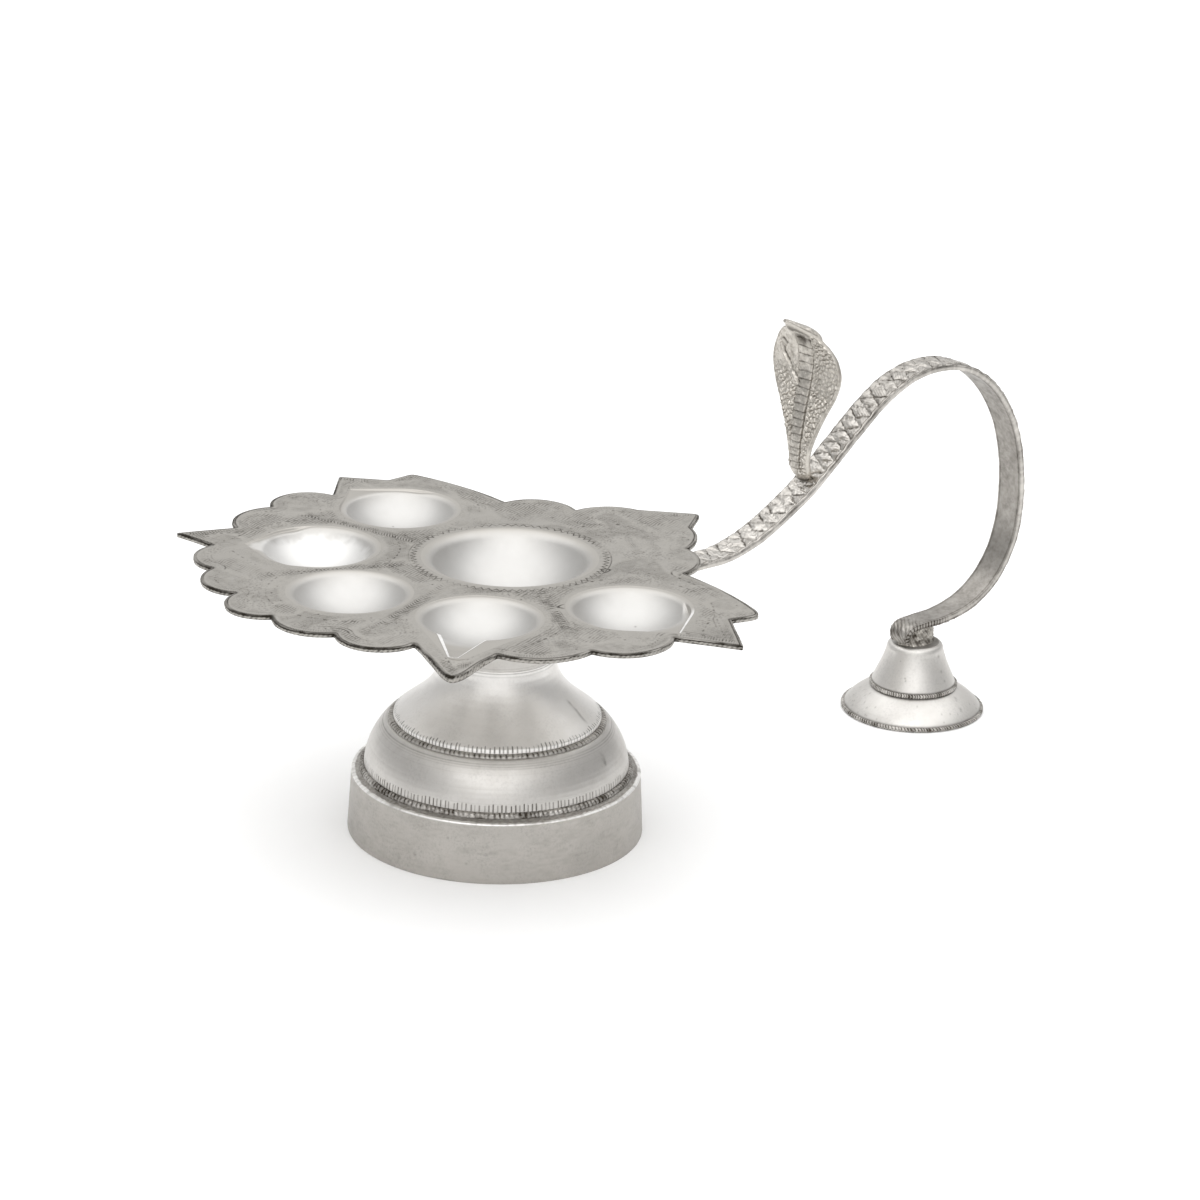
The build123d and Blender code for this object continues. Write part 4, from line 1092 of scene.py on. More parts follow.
# ------------------------------------------------------------------ bead wires
def twisted_wire(name, radius, height, half_w, half_h, number, lean, centre, node, around=9, section=20, depth=0.2, flat=None, dark=1.0, brown=0.0):
    """A twisted wire bent into a ring: beads that lean a little to one side."""
    segments = number * around
    psi = np.linspace(0, TAU, section, endpoint=False)
    th = np.linspace(0, TAU, segments, endpoint=False)
    t, q = np.meshgrid(th, psi, indexing="ij")
    wave = 0.5 + 0.5 * np.cos(number * t + lean * q + 1.5 * loop_noise(t / TAU % 1.0, number // 2, 81) + 0.9 * loop_noise(t / TAU % 1.0, number * 2, 85))
    wave = np.power(wave, 0.55)
    grow = 1 - depth * (1 - wave)
    worn = 1 + 0.07 * loop_noise(t / TAU % 1.0, number, 82) + 0.05 * loop_noise(t / TAU % 1.0, 17, 83)
    worn = np.minimum(worn, 1.0)
    fill = 0.62                                             # the section is nearly square, so no deep gaps are left beside it
    r = radius + half_w * np.sign(np.cos(q)) * np.abs(np.cos(q)) ** fill * grow * worn
    z = height + half_h * np.sign(np.sin(q)) * np.abs(np.sin(q)) ** fill * grow * worn
    if flat is not None:
        z = np.maximum(z, flat)
    v = np.stack([centre[0] + r * np.cos(t), centre[1] + r * np.sin(t), z], -1).reshape(-1, 3)
    cav = np.clip(np.clip((1 - wave) * 1.5 - 0.28, 0, 1) * dark + 0.30 * loop_noise(t / TAU % 1.0, number // 3, 84) + 0.25 * loop_noise(t / TAU % 1.0, number, 87) + brown, 0, 1)
    return build(name, v, [grid_faces(segments, section, True, True, flip=False)], bead_silver, [node], {"cav": cav.ravel()}, sharp=80)


def bead_band(name, r0, z0, r1, z1, number, node, dark, brown, seed):
    """A quarter-round band between two walls, knurled by hand with a punch."""
    q = np.radians(np.concatenate([np.linspace(-3, 93, 22), [120.0, 150.0, 180.0, 240.0, 285.0]]))
    segments = number * 8
    th = np.linspace(0, TAU, segments, endpoint=False)
    t, a = np.meshgrid(th, q, indexing="ij")
    turn = t / TAU % 1.0
    front = (a < 1.63).astype(float)
    wave = 0.5 + 0.5 * np.cos(number * t + 0.5 * a + 1.7 * loop_noise(turn, number // 2, seed) + 0.8 * loop_noise(turn, number * 2, seed + 1))
    wave = np.power(wave, 0.6)
    size = 1 + 0.10 * loop_noise(turn, number, seed + 2)
    middle = np.clip(np.sin(2 * a), 0, 1) ** 0.5 * front
    sink = 0.17 * (1 - wave) * middle * size
    ca, sa = np.clip(np.cos(a), 0, 1) ** 0.7, np.clip(np.sin(a), 0, 1) ** 0.7
    r = np.where(front > 0, r0 + (r1 - r0) * ca - sink * ca, r0 - 0.02)
    z = np.where(front > 0, z1 + (z0 - z1) * sa - sink * sa, z1 + (z0 - z1) * np.clip((4.97 - a) / 3.3, 0, 1))
    dots = np.clip((1 - wave) * 1.7 - 0.45, 0, 1) * middle * np.clip(0.8 + 0.6 * loop_noise(turn, number, seed + 3), 0, 1)
    cav = dark * dots + brown * (1 + 0.5 * loop_noise(turn, number // 3, seed + 4) + 0.6 * noise(t * 90.0, a * 3.0, seed + 5)) + 0.5 * near(np.degrees(a), 92.0, 7.0) + 0.30 * near(np.degrees(a), 0.0, 6.0)
    v = np.stack([r * np.cos(t), r * np.sin(t), z], -1).reshape(-1, 3)
    return build(name, v, [grid_faces(segments, len(q), True, True)], bead_silver, [node], {"cav": cav.ravel()}, sharp=70)


bead_band("upper_bead_band", 20.84, 24.02, 21.98, 23.28, 128, "upper_bead_ring", 0.74, 0.24, 140)
bead_band("lower_bead_band", 26.64, 14.0, 27.62, 12.98, 170, "lower_bead_ring", 0.66, 0.42, 150)


# ------------------------------------------------------------------ tail foot
foot_out = np.vstack([
    bezier((14.9, 0.86), (13.9, 2.35), (11.9, 3.95), (9.3, 5.3), 50),
    line((9.15, 5.4), (9.1, 5.5), 2),
    line((9.1, 6.2), (9.05, 6.45), 2),
    bezier((8.95, 6.7), (8.0, 8.9), (6.75, 11.4), (6.2, 13.7), 50),
    bezier((6.15, 13.95), (6.02, 14.9), (5.65, 15.3), (4.9, 15.42), 14),
    line((4.6, 15.44), (0.6, 15.45), 6),
])
foot_in = np.vstack([
    line((0.6, 14.4), (4.7, 14.25), 6),
    line((4.85, 14.0), (7.85, 6.3), 16),
    line((7.9, 6.1), (7.9, 5.0), 4),
    bezier((8.1, 4.8), (10.4, 3.4), (12.5, 2.0), (13.5, 0.95), 20),
    line((13.7, 0.86), (14.7, 0.84), 3),
])


def foot_shift(t, r, z):
    cav = 0.8 * near(np.hypot(r - 9.1, z - 6.35), 0, 0.25) + 0.7 * near(np.hypot(r - 9.2, z - 5.35), 0, 0.25)
    cav = np.maximum(cav, 0.6 * near(np.hypot(r - 14.85, z - 0.95), 0, 0.3))
    top = (z > 15.3) & (r < 5.2)
    cav = np.where(top, 0.55, cav)
    dr = 0.03 * loop_noise(t / TAU % 1.0, 7, 91) * (z > 2.0)
    rng = np.random.default_rng(9)
    for _ in range(22):
        a, h, size = rng.uniform(0, TAU), rng.uniform(2.0, 13.5), rng.uniform(0.14, 0.32)
        d = np.hypot(np.angle(np.exp(1j * (t - a))) * r, z - h)
        hit = near(d, 0, size)
        dr = dr - 0.05 * hit
        cav = np.maximum(cav, 0.35 * hit)
    # loose pitting all round the skirt
    rng = np.random.default_rng(19)
    for _ in range(46):
        a, h = rng.uniform(0, TAU), 1.4 + 3.4 * rng.random() ** 1.6
        d = np.hypot(np.angle(np.exp(1j * (t - a))) * r, z - h)
        hit = near(d, 0, 0.16)
        dr = dr - 0.04 * hit
        cav = np.maximum(cav, 0.30 * hit)
    return dr, np.zeros_like(r), cav


v, f, cav = revolve(thin(np.vstack([foot_out, foot_in]).tolist(), 0.03), 560, (FOOT_X, 0), foot_shift)
build("foot_bell_spun", v, [f], foot_silver, ["foot_bell"], {"cav": cav}, sharp=45)
twisted_wire("foot_mid_wire", 9.20, 5.9, 0.40, 0.44, 104, 1.3, (FOOT_X, 0), "foot_mid_bead", around=8, depth=0.20, dark=0.9, brown=0.14)
twisted_wire("foot_rim_wire", 14.90, 0.46, 0.56, 0.46, 140, 1.6, (FOOT_X, 0), "foot_rim_bead", around=8, section=24, depth=0.16, flat=0.0, dark=0.9, brown=0.18)


# ------------------------------------------------------------------ handle strap, the snake's body
def handle_strap():
    mid, s = smooth_through(STRAP_LINE, 0.15)
    tan = np.gradient(mid, axis=0)
    tan /= np.linalg.norm(tan, axis=1)[:, None]
    up = np.stack([-tan[:, 1], tan[:, 0]], 1)
    total = s[-1]
    half = np.interp(s, [0, 50, 70, 110, 150, total - 40, total - 10, total - 2, total], [3.1, 3.2, 3.35, 3.4, 3.4, 3.3, 3.0, 2.7, 2.2])
    half = half * (1 + 0.015 * noise(s / 5.0, 0 * s, 101) + 0.012 * noise(s / 1.4, 0 * s, 111))
    period = 3.1
    face = np.linspace(-1, 1, 49)
    ss, b = np.meshgrid(s, face, indexing="ij")
    mm_v = b * half[:, None]
    wander = 0.35 * noise(ss / 9.0, 0 * ss, 112)
    cell = np.floor((ss + wander) / period)
    a = (ss + wander) / period - cell - 0.5
    ci = cell.astype(np.int64)
    jit, jit2, jit3 = lattice(ci, 0 * ci, 102), lattice(ci, 1 + 0 * ci, 103), lattice(ci, 2 + 0 * ci, 113)
    q = b / 0.92 + 0.09 * jit2 + 0.05 * noise(ss / 1.1, mm_v / 1.1, 114)       # the field lies between two plain edges
    bend = 0.05 * noise(ss / 0.8, mm_v / 0.8, 115)
    ragged = 0.10 * noise(ss / 0.55, mm_v / 0.55, 120) + 0.06 * noise(ss / 0.25, mm_v / 0.25, 139)
    one = 1 - (np.abs(a + 0.07 * jit + bend) / 0.50 + np.abs(q) / 1.02) + ragged
    off = 0.5 - np.abs(a + bend)
    two = 1 - (off / 0.50 + (1 - np.abs(q)) / 1.02) + ragged
    inner_scale = step(0.0, 0.12, one)
    side = step(0.0, 0.12, two)
    # every scale is a low pyramid cut with a few strokes, each its own way
    cut_at = ss + (0.45 + 0.5 * jit3) * mm_v * np.where(jit > 0, 1, -1)
    cuts = near(saw(cut_at, 0.62), 0, 0.14) * step(0.10, 0.30, one) * (0.5 + 0.5 * jit2)
    cut2 = near(saw(ss + 0.9 * np.abs(mm_v), 0.50), 0, 0.13)
    rimz = step(0.90, 0.95, np.abs(b))
    worn = np.clip(0.85 + 0.5 * noise(ss / 6.0, mm_v / 4.0, 116), 0.45, 1.15)
    tilt = 0.16 * jit * a + 0.10 * jit2 * q
    field = (0.10 + 0.40 * np.clip(one, 0, 1) + tilt) * inner_scale * (1 + 0.2 * jit) - 0.07 * cuts + (0.08 + 0.42 * np.clip(two, 0, 1)) * side - 0.06 * side * cut2
    field = field * worn + 0.045 * noise(ss / 0.35, mm_v / 0.35, 104)
    field = np.clip(field, -0.05, 0.44)
    scaled = step(30.0, 36.0, ss)
    bumpy = 0.10 * noise(ss / 0.9, 0 * ss + np.sign(b), 122)
    outer = 0.46 + field * (1 - rimz) * scaled + (0.16 + bumpy) * rimz * scaled + 0.24 * (1 - scaled)
    knurl = np.cos(TAU * (ss + 0.3 * mm_v) / 0.72)
    tail = step(total - 26.0, total - 14.0, ss)
    outer = outer + 0.05 * rimz * knurl * (0.35 + 0.65 * tail)
    outer = outer - 0.14 * step(0.95, 1.0, np.abs(b)) - 0.06 * near(np.abs(b), 0.905, 0.025) * scaled
    outer = np.minimum(outer, 0.82)
    gap_line = (1 - inner_scale) * (1 - side)
    cav_o = gap_line * (0.72 + 0.4 * noise(ss / 1.1, mm_v / 1.1, 105)) + 0.30 * cuts + 0.26 * side * cut2
    cav_o = cav_o + np.clip(0.34 * noise(ss / 0.8, mm_v / 0.8, 123), 0, 0.3)
    cav_o = np.clip(cav_o, 0, 1) * (1 - rimz) * scaled
    cav_o = np.maximum(cav_o, 0.80 * near(np.abs(b), 0.91, 0.03) * scaled)
    cav_o = np.maximum(cav_o, rimz * (0.30 + 0.30 * noise(ss / 1.0, mm_v / 0.6, 117)))
    cav_o = np.clip(cav_o + 0.18 * step(92.0, 112.0, ss), 0, 1)

    def place(offset, across):
        return np.stack([mid[:, 0][:, None] + up[:, 0][:, None] * offset, across, mid[:, 1][:, None] + up[:, 1][:, None] * offset], -1)

    rows = [place(outer, mm_v)]
    cavs = [cav_o]
    # right-hand wall (towards +Y), inner face, left-hand wall: a rolled edge with a thin scored line
    wall_at = [(0.40, 0.03), (0.28, 0.07), (0.18, 0.02), (0.06, 0.08), (-0.22, 0.11), (-0.52, 0.10), (-0.74, 0.04)]
    score = [0.65, 0.50, 0.95, 0.42, 0.34, 0.38, 0.60]
    fine = noise(s / 0.5, 0 * s, 118)
    for sign in (1, -1):
        levels = wall_at if sign == 1 else wall_at[::-1]
        marks = score if sign == 1 else score[::-1]
        offset = np.array([l[0] for l in levels])[None, :] + 0 * s[:, None]
        hatch = 0.07 * np.cos(TAU * s / 0.80) * step(total - 15.0, total - 9.0, s)
        across = sign * (half[:, None] + np.array([l[1] for l in levels])[None, :] * (1 + 0.4 * noise(s / 1.5, 0 * s, 106))[:, None] + hatch[:, None])
        wall = place(offset, across)
        mark = np.repeat(np.array(marks)[None, :], len(s), 0) * (0.85 + 0.35 * noise(s / 5.0, 0 * s, 107) + 0.25 * fine)[:, None]
        mark = mark + (np.clip(-hatch * 9.0, 0, 0.5) + 0.15 * step(total - 15.0, total - 9.0, s))[:, None]
        rows.append(wall)
        cavs.append(np.clip(mark, 0, 1))
        if sign == 1:
            back = np.linspace(0.95, -0.95, 23)
            bb, sb = np.meshgrid(back, s)
            mv = bb * half[:, None]
            inner = -0.84 + 0.08 * np.abs(bb) ** 6 + 0.012 * noise(sb / 2.2, mv / 1.1, 108) + 0.02 * noise(sb / 9.0, mv / 4.0, 109)
            # the turned end is scored across like a rope
            curled = step(total - 7.5, total - 5.0, sb)
            strand = np.cos(TAU * (sb + 0.75 * mv + 0.2 * noise(sb / 0.8, mv / 0.8, 141)) / 0.95)
            inner = inner + curled * (0.07 + 0.07 * strand)
            rows.append(place(inner, mv))
            stain = np.interp(sb, [90.0, 125.0, 150.0, 175.0], [0.69, 0.73, 0.64, 0.55]) + 0.03 * noise(sb / 9.0, mv / 3.0, 110) + 0.07 * noise(sb / 0.5, mv / 0.5, 119) + 0.25 * near(np.abs(bb), 0.86, 0.04)
            stain = stain * (1 - 0.35 * curled) + curled * (0.15 + 0.24 * np.clip(strand, 0, 1) + 0.2 * noise(sb / 0.9, mv / 0.9, 142))
            cavs.append(np.clip(stain, 0, 1))
    block = np.concatenate(rows, 1)
    cav = np.concatenate(cavs, 1)
    count, cols = block.shape[:2]
    faces = [grid_faces(count, cols, False, True, flip=True)]
    verts = block.reshape(-1, 3)
    # ends, closed by a slightly domed cap
    caps, capcav = [], []
    for row, out in ((0, -1), (count - 1, 1)):
        ring = block[row]
        middle = ring.mean(0)
        t3 = np.array([tan[row, 0], 0, tan[row, 1]]) * out
        inset = middle + (ring - middle) * 0.72 + t3 * 0.22
        start = len(verts) + sum(len(c) for c in caps)
        caps.append(np.vstack([inset, (middle + t3 * 0.28)[None]]))
        capcav.append(np.full(cols + 1, 0.5))
        base = row * cols + np.arange(cols)
        nb = np.roll(base, -1)
        k = start + np.arange(cols)
        nk = np.roll(k, -1)
        quad = np.stack([base, nb, nk, k], 1)
        tri = np.stack([k, nk, np.full(cols, start + cols)], 1)
        faces += [quad, tri] if out < 0 else [quad[:, ::-1], tri[:, ::-1]]
    verts = np.vstack([verts] + caps)
    cav = np.concatenate([cav.ravel()] + capcav)
    build("handle_strap_scaled", verts, faces, strap_silver, ["handle_strap"], {"cav": cav}, sharp=55)


handle_strap()


# ------------------------------------------------------------------ cobra hood
def cobra_hood():
    zs = np.array([58.6, 59.1, 59.9, 61.3, 63.7, 67.2, 71.1, 75.0, 79.3, 83.3, 86.4, 88.5, 90.0, 91.3])
    xs = np.array([80.3, 80.1, 79.7, 79.1, 78.6, 78.3, 78.45, 78.8, 79.25, 79.5, 79.3, 78.9, 78.4, 77.8])
    ws = np.array([1.2, 1.9, 2.45, 2.75, 2.85, 3.7, 5.2, 7.2, 9.5, 10.5, 9.75, 8.4, 6.9, 5.2])
    rows, cols = 420, 181
    z = np.linspace(zs[0], zs[-1], rows)

    def curve(values):
        fine = smooth_through(np.column_stack([zs, values]), 0.05)[0]
        return np.interp(z, fine[:, 0], fine[:, 1])

    cx, half = curve(xs), curve(ws)
    b = np.linspace(-1, 1, cols)
    b = np.sign(b) * (1 - (1 - np.abs(b)) ** 1.10)
    zz, bb = np.meshgrid(z, b, indexing="ij")
    yy = bb * half[:, None]
    xx = np.repeat(cx[:, None], cols, 1)
    up = np.clip((zz - 62.0) / 24.0, 0, 1)
    near_rim = half[:, None] - np.abs(yy)
    set_over = 0.9 * (1 - step(60.0, 71.0, zz))           # the foot of the hood is soldered a little to one side
    worn = np.clip(0.85 + 0.45 * noise(zz / 3.5, yy / 3.5, 126), 0.35, 1.15)
    # belly plates up the middle, each overlapping the one below
    ladder = np.interp(zz, [58, 62, 70, 80, 88, 92], [1.15, 1.25, 1.5, 1.95, 2.25, 2.1])
    dy = yy - 0.35 * np.sin((zz - 60) / 8.0) - 0.08 * noise(zz / 1.6, 0 * zz, 127)
    inside = 1 - step(ladder - 0.16, ladder + 0.10, np.abs(dy))
    climb = np.cumsum(np.full(rows, z[1] - z[0]) / np.interp(z, [58, 92], [1.45, 1.9]))[:, None]
    phase = climb + 0.035 * dy + 0.05 * dy**2 / np.maximum(ladder, 0.1) + 0.06 * noise(zz / 1.3, yy / 1.5, 128)
    frac = phase - np.floor(phase)
    rung = 0.46 * np.power(np.clip(1 - frac, 0, 1), 0.6) * np.sqrt(np.clip(1 - (dy / (ladder * 1.15)) ** 2, 0, 1)) + 0.04
    rung_line = near(np.minimum(frac, 1 - frac), 0, 0.10)
    groove = near(np.abs(dy), ladder + 0.12, 0.18)
    # scattered scales on both wings
    f1, f2, own = pebbles(np.abs(dy) / 1.02 + 60.0 * (dy > 0), zz / 1.05, 121)
    scale_gap = f2 - f1
    grain = step(0.0, 0.42, scale_gap) * (0.45 + 0.55 * np.clip(1 - f1 / 0.62, 0, 1))
    grain = grain * (0.78 + 0.30 * own)
    wing = step(0.10, 0.45, np.abs(dy) - ladder)
    margin = step(0.20, 0.60, near_rim)
    calm = 1 - step(83.0, 86.5, zz + 0.35 * dy) * step(1.2, 3.2, dy)     # smooth flare high on one side
    relief = wing * margin * 0.56 * grain * worn * (0.12 + 0.88 * calm)
    # a raised fold that sweeps from the flare in to the belly, doubled like a hook at its upper end
    waver = 0.15 * noise(zz / 1.1, yy / 1.1, 129)
    first = [(1.7, 79.4), (2.8, 80.0), (4.2, 81.2), (5.0, 82.6), (6.4, 83.6), (7.3, 84.8), (7.9, 86.9), (7.2, 87.6), (6.6, 86.8)]
    fold_d = path_distance(dy + waver, zz, first)
    fold = near(fold_d, 0, 0.42)
    fold_low = near(path_distance(dy + waver + 0.55, zz - 0.55, first), 0, 0.34) * (1 - fold)
    fold2 = near(path_distance(dy + waver, zz, [(2.1, 79.9), (3.5, 81.4), (4.4, 83.6), (4.9, 87.0)]), 0, 0.36)
    relief = relief * (1 - 0.8 * np.maximum(fold, fold2)) + 0.42 * fold + 0.26 * fold2 - 0.22 * fold_low
    second = near(dy, -(ladder + 0.62), 0.30) * window(zz, 64, 88.5, 1.2)
    relief = relief * (1 - 0.6 * second) + 0.22 * second
    relief = relief + inside * (rung * worn + 0.20) - 0.22 * groove
    # hollow under the head
    hollow = near(np.hypot((dy - 0.2) / 2.6, (zz - 89.8) / 1.25), 0, 0.85)
    relief = relief * (1 - 0.8 * hollow) - 0.45 * hollow
    relief = relief + 0.14 * near(near_rim, 0.26, 0.16) * step(64, 68, zz)
    relief = relief + 0.05 * noise(zz / 0.45, yy / 0.45, 124) + 0.03 * noise(zz / 0.22, yy / 0.22, 125)
    fade = step(59.2, 61.0, zz)
    relief = relief * (0.25 + 0.75 * fade)
    # the wings reach forward a little, the belly stands proud, the rim is thin
    thick = np.interp(zz, [58, 60, 62, 70, 80, 88, 92], [2.3, 2.9, 2.4, 1.8, 1.4, 1.2, 1.1])
    round_off = np.sqrt(np.clip(1 - np.clip(1 - near_rim / 0.55, 0, 1) ** 2, 0, 1))
    body = np.sqrt(np.clip(1 - bb**2, 0, 1))
    swell = np.interp(zz, [58, 62, 72], [1.0, 0.85, 0.45])
    shape = round_off * (1 - swell) + body * swell
    shape = 0.12 + 0.88 * shape
    cup = 0.9 * up * bb**2 * (half[:, None] / 10.5)
    lean = step(86.5, 91.3, zz)
    front = xx - thick / 2 * shape - relief * np.clip(near_rim / 0.35, 0, 1) - cup * 0.6 - 0.7 * lean
    ridge = 0.25 * near(yy, 0, 0.9) * step(61, 65, zz)
    back_relief = 0.16 * grain * margin * wing * worn + ridge + 0.03 * noise(zz / 0.4, yy / 0.4, 130)
    back = xx + thick / 2 * shape - cup * 0.6 + back_relief * fade * np.clip(near_rim / 0.35, 0, 1) - 0.5 * lean
    cav_f = inside * (0.66 * rung_line + 0.12) + groove * 0.42 + wing * margin * (1 - step(0.02, 0.26, scale_gap)) * 0.34 * (0.15 + 0.85 * calm) + fold_low * 0.75
    cav_f = cav_f * (1 - 0.75 * np.maximum(fold, fold2)) * (1 - 0.6 * second) * (0.7 + 0.4 * worn) * fade
    # painted shade: the hollow under the head is darkened, and so is the foot of the hood where it meets the strap
    cav_f = np.clip(cav_f + 0.85 * hollow + 0.45 * near(near_rim, 0.10, 0.14) * step(64, 68, zz) + 0.25 * near(near_rim, 0.55, 0.12) * step(64, 68, zz) + 0.9 * (1 - step(58.4, 59.8, zz)) + 0.18 * noise(zz / 0.5, yy / 0.5, 138), 0, 1)
    cav_b = np.clip(0.18 + 0.5 * (1 - step(0.02, 0.26, scale_gap)) * wing * margin, 0, 1)
    fv = np.stack([front, yy + set_over, zz], -1)
    bv = np.stack([back, yy + set_over, zz], -1)[:, ::-1]
    block = np.concatenate([fv, bv[:, 1:-1]], 1)
    cavs = np.concatenate([cav_f, cav_b[:, ::-1][:, 1:-1]], 1)
    count, width = block.shape[:2]
    faces = [grid_faces(count, width, False, True, flip=True)]
    verts = block.reshape(-1, 3)
    cavs = cavs.ravel()
    for row, out in ((0, -1), (count - 1, 1)):
        ring = block[row]
        middle = ring.mean(0) + np.array([0, 0, 0.25 * out])
        start = len(verts)
        verts = np.vstack([verts, middle[None]])
        cavs = np.append(cavs, 0.4)
        base = row * width + np.arange(width)
        nb = np.roll(base, -1)
        tri = np.stack([base, nb, np.full(width, start)], 1)
        faces.append(tri if out < 0 else tri[:, ::-1])
    build("cobra_hood_relief", verts, faces, cast_silver, ["cobra_hood"], {"cav": cavs}, sharp=60)

    # the head itself: a visor-like hood with a lip round its edge, drawn out to a snout
    n_len, n_round = 60, 48
    t = np.linspace(0, 1, n_len)
    hx = np.interp(t, [0, 0.2, 0.5, 0.8, 1], [79.6, 78.6, 76.4, 73.9, 72.2])
    hz = np.interp(t, [0, 0.2, 0.5, 0.8, 1], [90.2, 91.0, 92.2, 93.6, 94.5])
    hw = np.interp(t, [0, 0.08, 0.25, 0.5, 0.75, 0.92, 1], [3.6, 4.7, 5.1, 3.7, 2.0, 0.9, 0.42])
    hh = np.interp(t, [0, 0.08, 0.3, 0.6, 0.9, 1], [0.5, 0.95, 1.05, 0.8, 0.48, 0.28])
    ker = np.hanning(9) / np.hanning(9).sum()
    def soft(val):
        return np.convolve(np.pad(val, 4, mode="edge"), ker, "valid")
    hx, hz, hw, hh = soft(hx), soft(hz), soft(hw), soft(hh)
    psi = np.linspace(0, TAU, n_round, endpoint=False)
    tt, pp = np.meshgrid(t, psi, indexing="ij")
    dx, dz = np.gradient(hx), np.gradient(hz)
    ln = np.hypot(dx, dz)
    nx, nz = -dz / ln, dx / ln
    nx, nz = np.where(nz < 0, -nx, nx), np.where(nz < 0, -nz, nz)
    y2 = hw[:, None] * np.cos(pp)
    sgn = np.sin(pp)
    arch = 0.9 * (np.cos(pp) ** 2) * (hw[:, None] / 6.0)               # the sides droop
    off = np.sign(sgn) * np.abs(sgn) ** 0.8 * hh[:, None] - arch
    eye = np.zeros_like(off)
    for side in (1, -1):
        d = np.hypot((tt - 0.46) * 9.0, (y2 - side * 2.7))
        top_side = step(0.0, 0.5, sgn)
        eye = eye + near(d, 0, 0.62) * top_side
    mouth_line = near(np.abs(np.cos(pp)), 0.93, 0.05) * (sgn > 0) * window(tt, 0.3, 0.97, 0.08)
    off = off + 0.35 * eye - 0.10 * mouth_line
    scale = 1 - step(0.18, 0.5, np.hypot(saw(tt * 10.0, 0.9), saw(y2, 0.9)))
    off = off + 0.07 * scale * step(0.2, 0.6, sgn) * (1 - eye)
    hv = np.stack([hx[:, None] + nx[:, None] * off, y2, hz[:, None] + nz[:, None] * off], -1)
    # painted shade: the underside of the head is darkened on its back half, fading out towards the snout
    cav = np.clip(0.7 * mouth_line + 0.30 * (1 - scale) * step(0.2, 0.6, sgn) + 0.75 * step(0.3, 0.8, -sgn) * (1 - step(0.55, 0.95, tt)), 0, 1)
    verts = hv.reshape(-1, 3)
    faces = [grid_faces(n_len, n_round, False, True, flip=False)]
    cavs = cav.ravel()
    for row, out in ((0, -1), (n_len - 1, 1)):
        ring = hv[row]
        start = len(verts)
        verts = np.vstack([verts, ring.mean(0)[None]])
        cavs = np.append(cavs, 0.2)
        base = row * n_round + np.arange(n_round)
        nb = np.roll(base, -1)
        tri = np.stack([base, nb, np.full(n_round, start)], 1)
        faces.append(tri[:, ::-1] if out < 0 else tri)
    build("cobra_head_snout", verts, faces, cast_silver, [], {"cav": cavs}, sharp=60)


cobra_hood()


# ------------------------------------------------------------------ rough solder stub under the tail end
def foot_collar():
    rows, around = 40, 180
    t = np.linspace(0, 1, rows)
    th = np.linspace(0, TAU, around, endpoint=False)
    tt, aa = np.meshgrid(t, th, indexing="ij")
    z = 15.40 + 3.85 * tt
    flare = 0.55 * np.exp(-tt / 0.12)
    rx, ry = 4.35 - 0.15 * tt + flare * 0.6, 3.0 - 0.35 * tt + flare * 0.8
    seam_fix = step(0.0, 0.35, aa) * (1 - step(TAU - 0.35, TAU, aa))
    lump = (0.20 * noise(aa * 3.2 + 40, z / 0.8, 131) + 0.14 * noise(aa * 8.0 + 40, z / 0.4, 132)) * seam_fix
    lump = lump + 0.07 * np.cos(aa * 34 + z * 5.0)
    x, y = FOOT_X + 0.1 + (rx + lump) * np.cos(aa), (ry + lump) * np.sin(aa)
    z = z + 0.12 * noise(aa * 4.0, tt * 2.0, 133) * seam_fix * np.sin(math.pi * tt)
    v = np.stack([x, y, z], -1).reshape(-1, 3)
    cav = np.clip(0.58 - 1.6 * lump + 0.3 * noise(aa * 6.0 + 9, z, 134), 0.05, 1).ravel()
    faces = [grid_faces(rows, around, False, True)]
    for row, out in ((0, -1), (rows - 1, 1)):
        base = row * around + np.arange(around)
        nb = np.roll(base, -1)
        start = len(v)
        v = np.vstack([v, v[base].mean(0)[None]])
        cav = np.append(cav, 0.5)
        tri = np.stack([base, nb, np.full(around, start)], 1)
        faces.append(tri[:, ::-1] if out < 0 else tri)
    build("foot_collar_solder", v, faces, cast_silver, ["foot_collar"], {"cav": cav}, sharp=70)


foot_collar()

# ------------------------------------------------------------------ floor, light, camera
floor_mesh = bpy.data.meshes.new("floor")
floor_mesh.from_pydata([(-60, -60, 0), (60, -60, 0), (60, 60, 0), (-60, 60, 0)], [], [(0, 1, 2, 3)])
floor = bpy.data.objects.new("floor", floor_mesh)
bpy.context.scene.collection.objects.link(floor)
floor_mat = bpy.data.materials.new("pale_floor")
floor_mat.use_nodes = True
fb = floor_mat.node_tree.nodes["Principled BSDF"]
fb.inputs["Base Color"].default_value = (0.97, 0.97, 0.968, 1)
fb.inputs["Roughness"].default_value = 0.8
fb.inputs["Specular IOR Level"].default_value = 0.1
floor_mesh.materials.append(floor_mat)

world = bpy.data.worlds.new("studio")
bpy.context.scene.world = world
world.use_nodes = True
wn = world.node_tree
bg = wn.nodes["Background"]

A = math.radians(39.2)


def to_part(x, y, z):
    """From the camera's heading to the part's frame."""
    return Vector((x * math.cos(A) + y * math.sin(A), -x * math.sin(A) + y * math.cos(A), z))


def area_light(name, at, look, size, power, size_y=None):
    data = bpy.data.lights.new(name, "AREA")
    data.energy = power
    data.size = size
    if size_y:
        data.shape = "RECTANGLE"
        data.size_y = size_y
    ob = bpy.data.objects.new(name, data)
    bpy.context.scene.collection.objects.link(ob)
    p, q = to_part(*at), to_part(*look)
    ob.matrix_world = Matrix.Translation(p) @ (q - p).to_track_quat("-Z", "Y").to_matrix().to_4x4()
    return ob


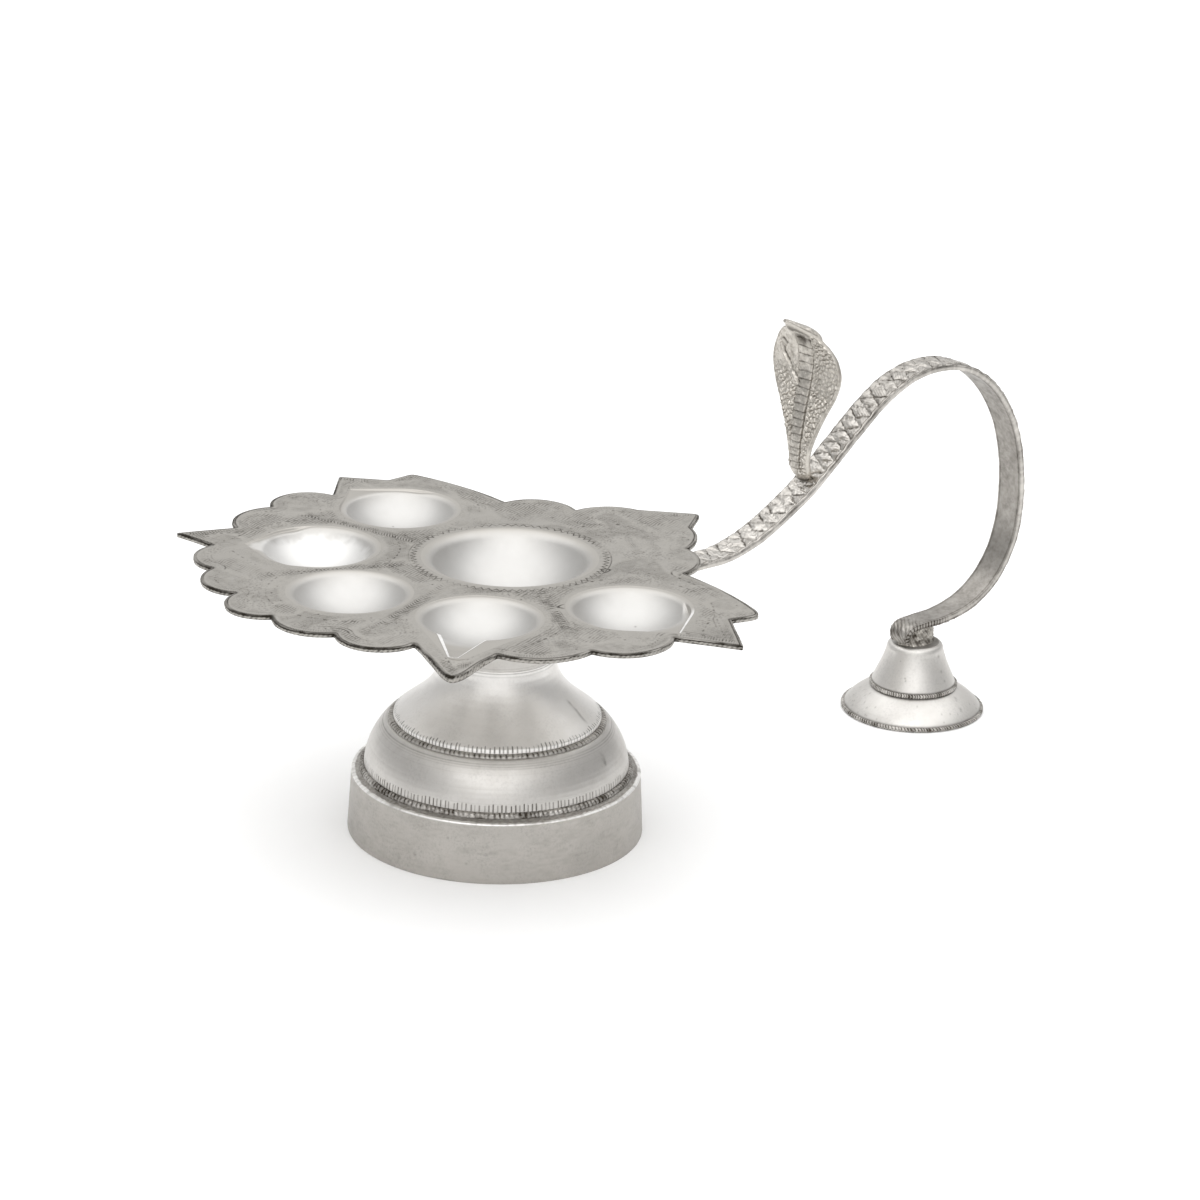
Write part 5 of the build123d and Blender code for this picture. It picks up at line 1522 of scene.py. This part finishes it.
area_light("overhead", (0.0, -0.1, 1.5), (0.0, 0.0, 0.0), 3.0, 17.0, 3.0)
area_light("front", (-0.1, -1.6, 1.15), (0.0, 0.0, 0.05), 2.0, 9.0, 1.6)


# the room: brighter overhead, middling behind the object, dimmer in front and to the sides
def world_math(op, a, b=0.0):
    n = wn.nodes.new("ShaderNodeMath")
    n.operation = op
    for i, v in enumerate((a, b)):
        if isinstance(v, (int, float)):
            n.inputs[i].default_value = v
        else:
            wn.links.new(v, n.inputs[i])
    return n.outputs[0]


def world_range(value, a, b, low, high):
    n = wn.nodes.new("ShaderNodeMapRange")
    n.interpolation_type = "SMOOTHSTEP"
    wn.links.new(value, n.inputs[0])
    for i, v in enumerate((a, b, low, high)):
        n.inputs[i + 1].default_value = v
    return n.outputs[0]


def along(direction):
    n = wn.nodes.new("ShaderNodeVectorMath")
    n.operation = "DOT_PRODUCT"
    wn.links.new(heading, n.inputs[0])
    n.inputs[1].default_value = direction
    return n.outputs["Value"]


heading = wn.nodes.new("ShaderNodeTexCoord").outputs["Generated"]
away, across, over = along(to_part(0, 1, 0)), along(to_part(1, 0, 0)), along((0, 0, 1))
low = world_range(away, -0.8, 0.8, 0.68, 0.80)
side = world_math("ADD", world_range(across, 0.30, 0.95, 0.0, -0.34), world_range(across, -0.95, -0.35, -0.24, 0.0))
top = world_range(over, 0.30, 0.95, 0.0, 0.48)
glow = world_math("ADD", world_math("ADD", low, side), top)
tint = wn.nodes.new("ShaderNodeCombineColor")
for i in range(3):
    wn.links.new(glow, tint.inputs[i])
wn.links.new(tint.outputs[0], bg.inputs["Color"])
bg.inputs["Strength"].default_value = 1.0

cam_data = bpy.data.cameras.new("camera")
cam_data.lens = 135.0
cam_data.sensor_width = 36.0
cam_data.clip_start = 0.01
cam_data.clip_end = 30.0
cam = bpy.data.objects.new("camera", cam_data)
bpy.context.scene.collection.objects.link(cam)
pitch, roll = math.radians(20.25), math.radians(1.70)
right = Vector((1, 0, 0))
upv = Vector((0, math.sin(pitch), math.cos(pitch)))
fwd = Vector((0, math.cos(pitch), -math.sin(pitch)))
right_r = right * math.cos(roll) + upv * math.sin(roll)
up_r = upv * math.cos(roll) - right * math.sin(roll)
cols3 = [to_part(*right_r), to_part(*up_r), to_part(*(-fwd))]
at = to_part(0.01989, -0.83883, 0.35862)
cam.matrix_world = Matrix((
    (cols3[0].x, cols3[1].x, cols3[2].x, at.x),
    (cols3[0].y, cols3[1].y, cols3[2].y, at.y),
    (cols3[0].z, cols3[1].z, cols3[2].z, at.z),
    (0, 0, 0, 1),
))
bpy.context.scene.camera = cam
bpy.context.scene.view_settings.view_transform = "Standard"
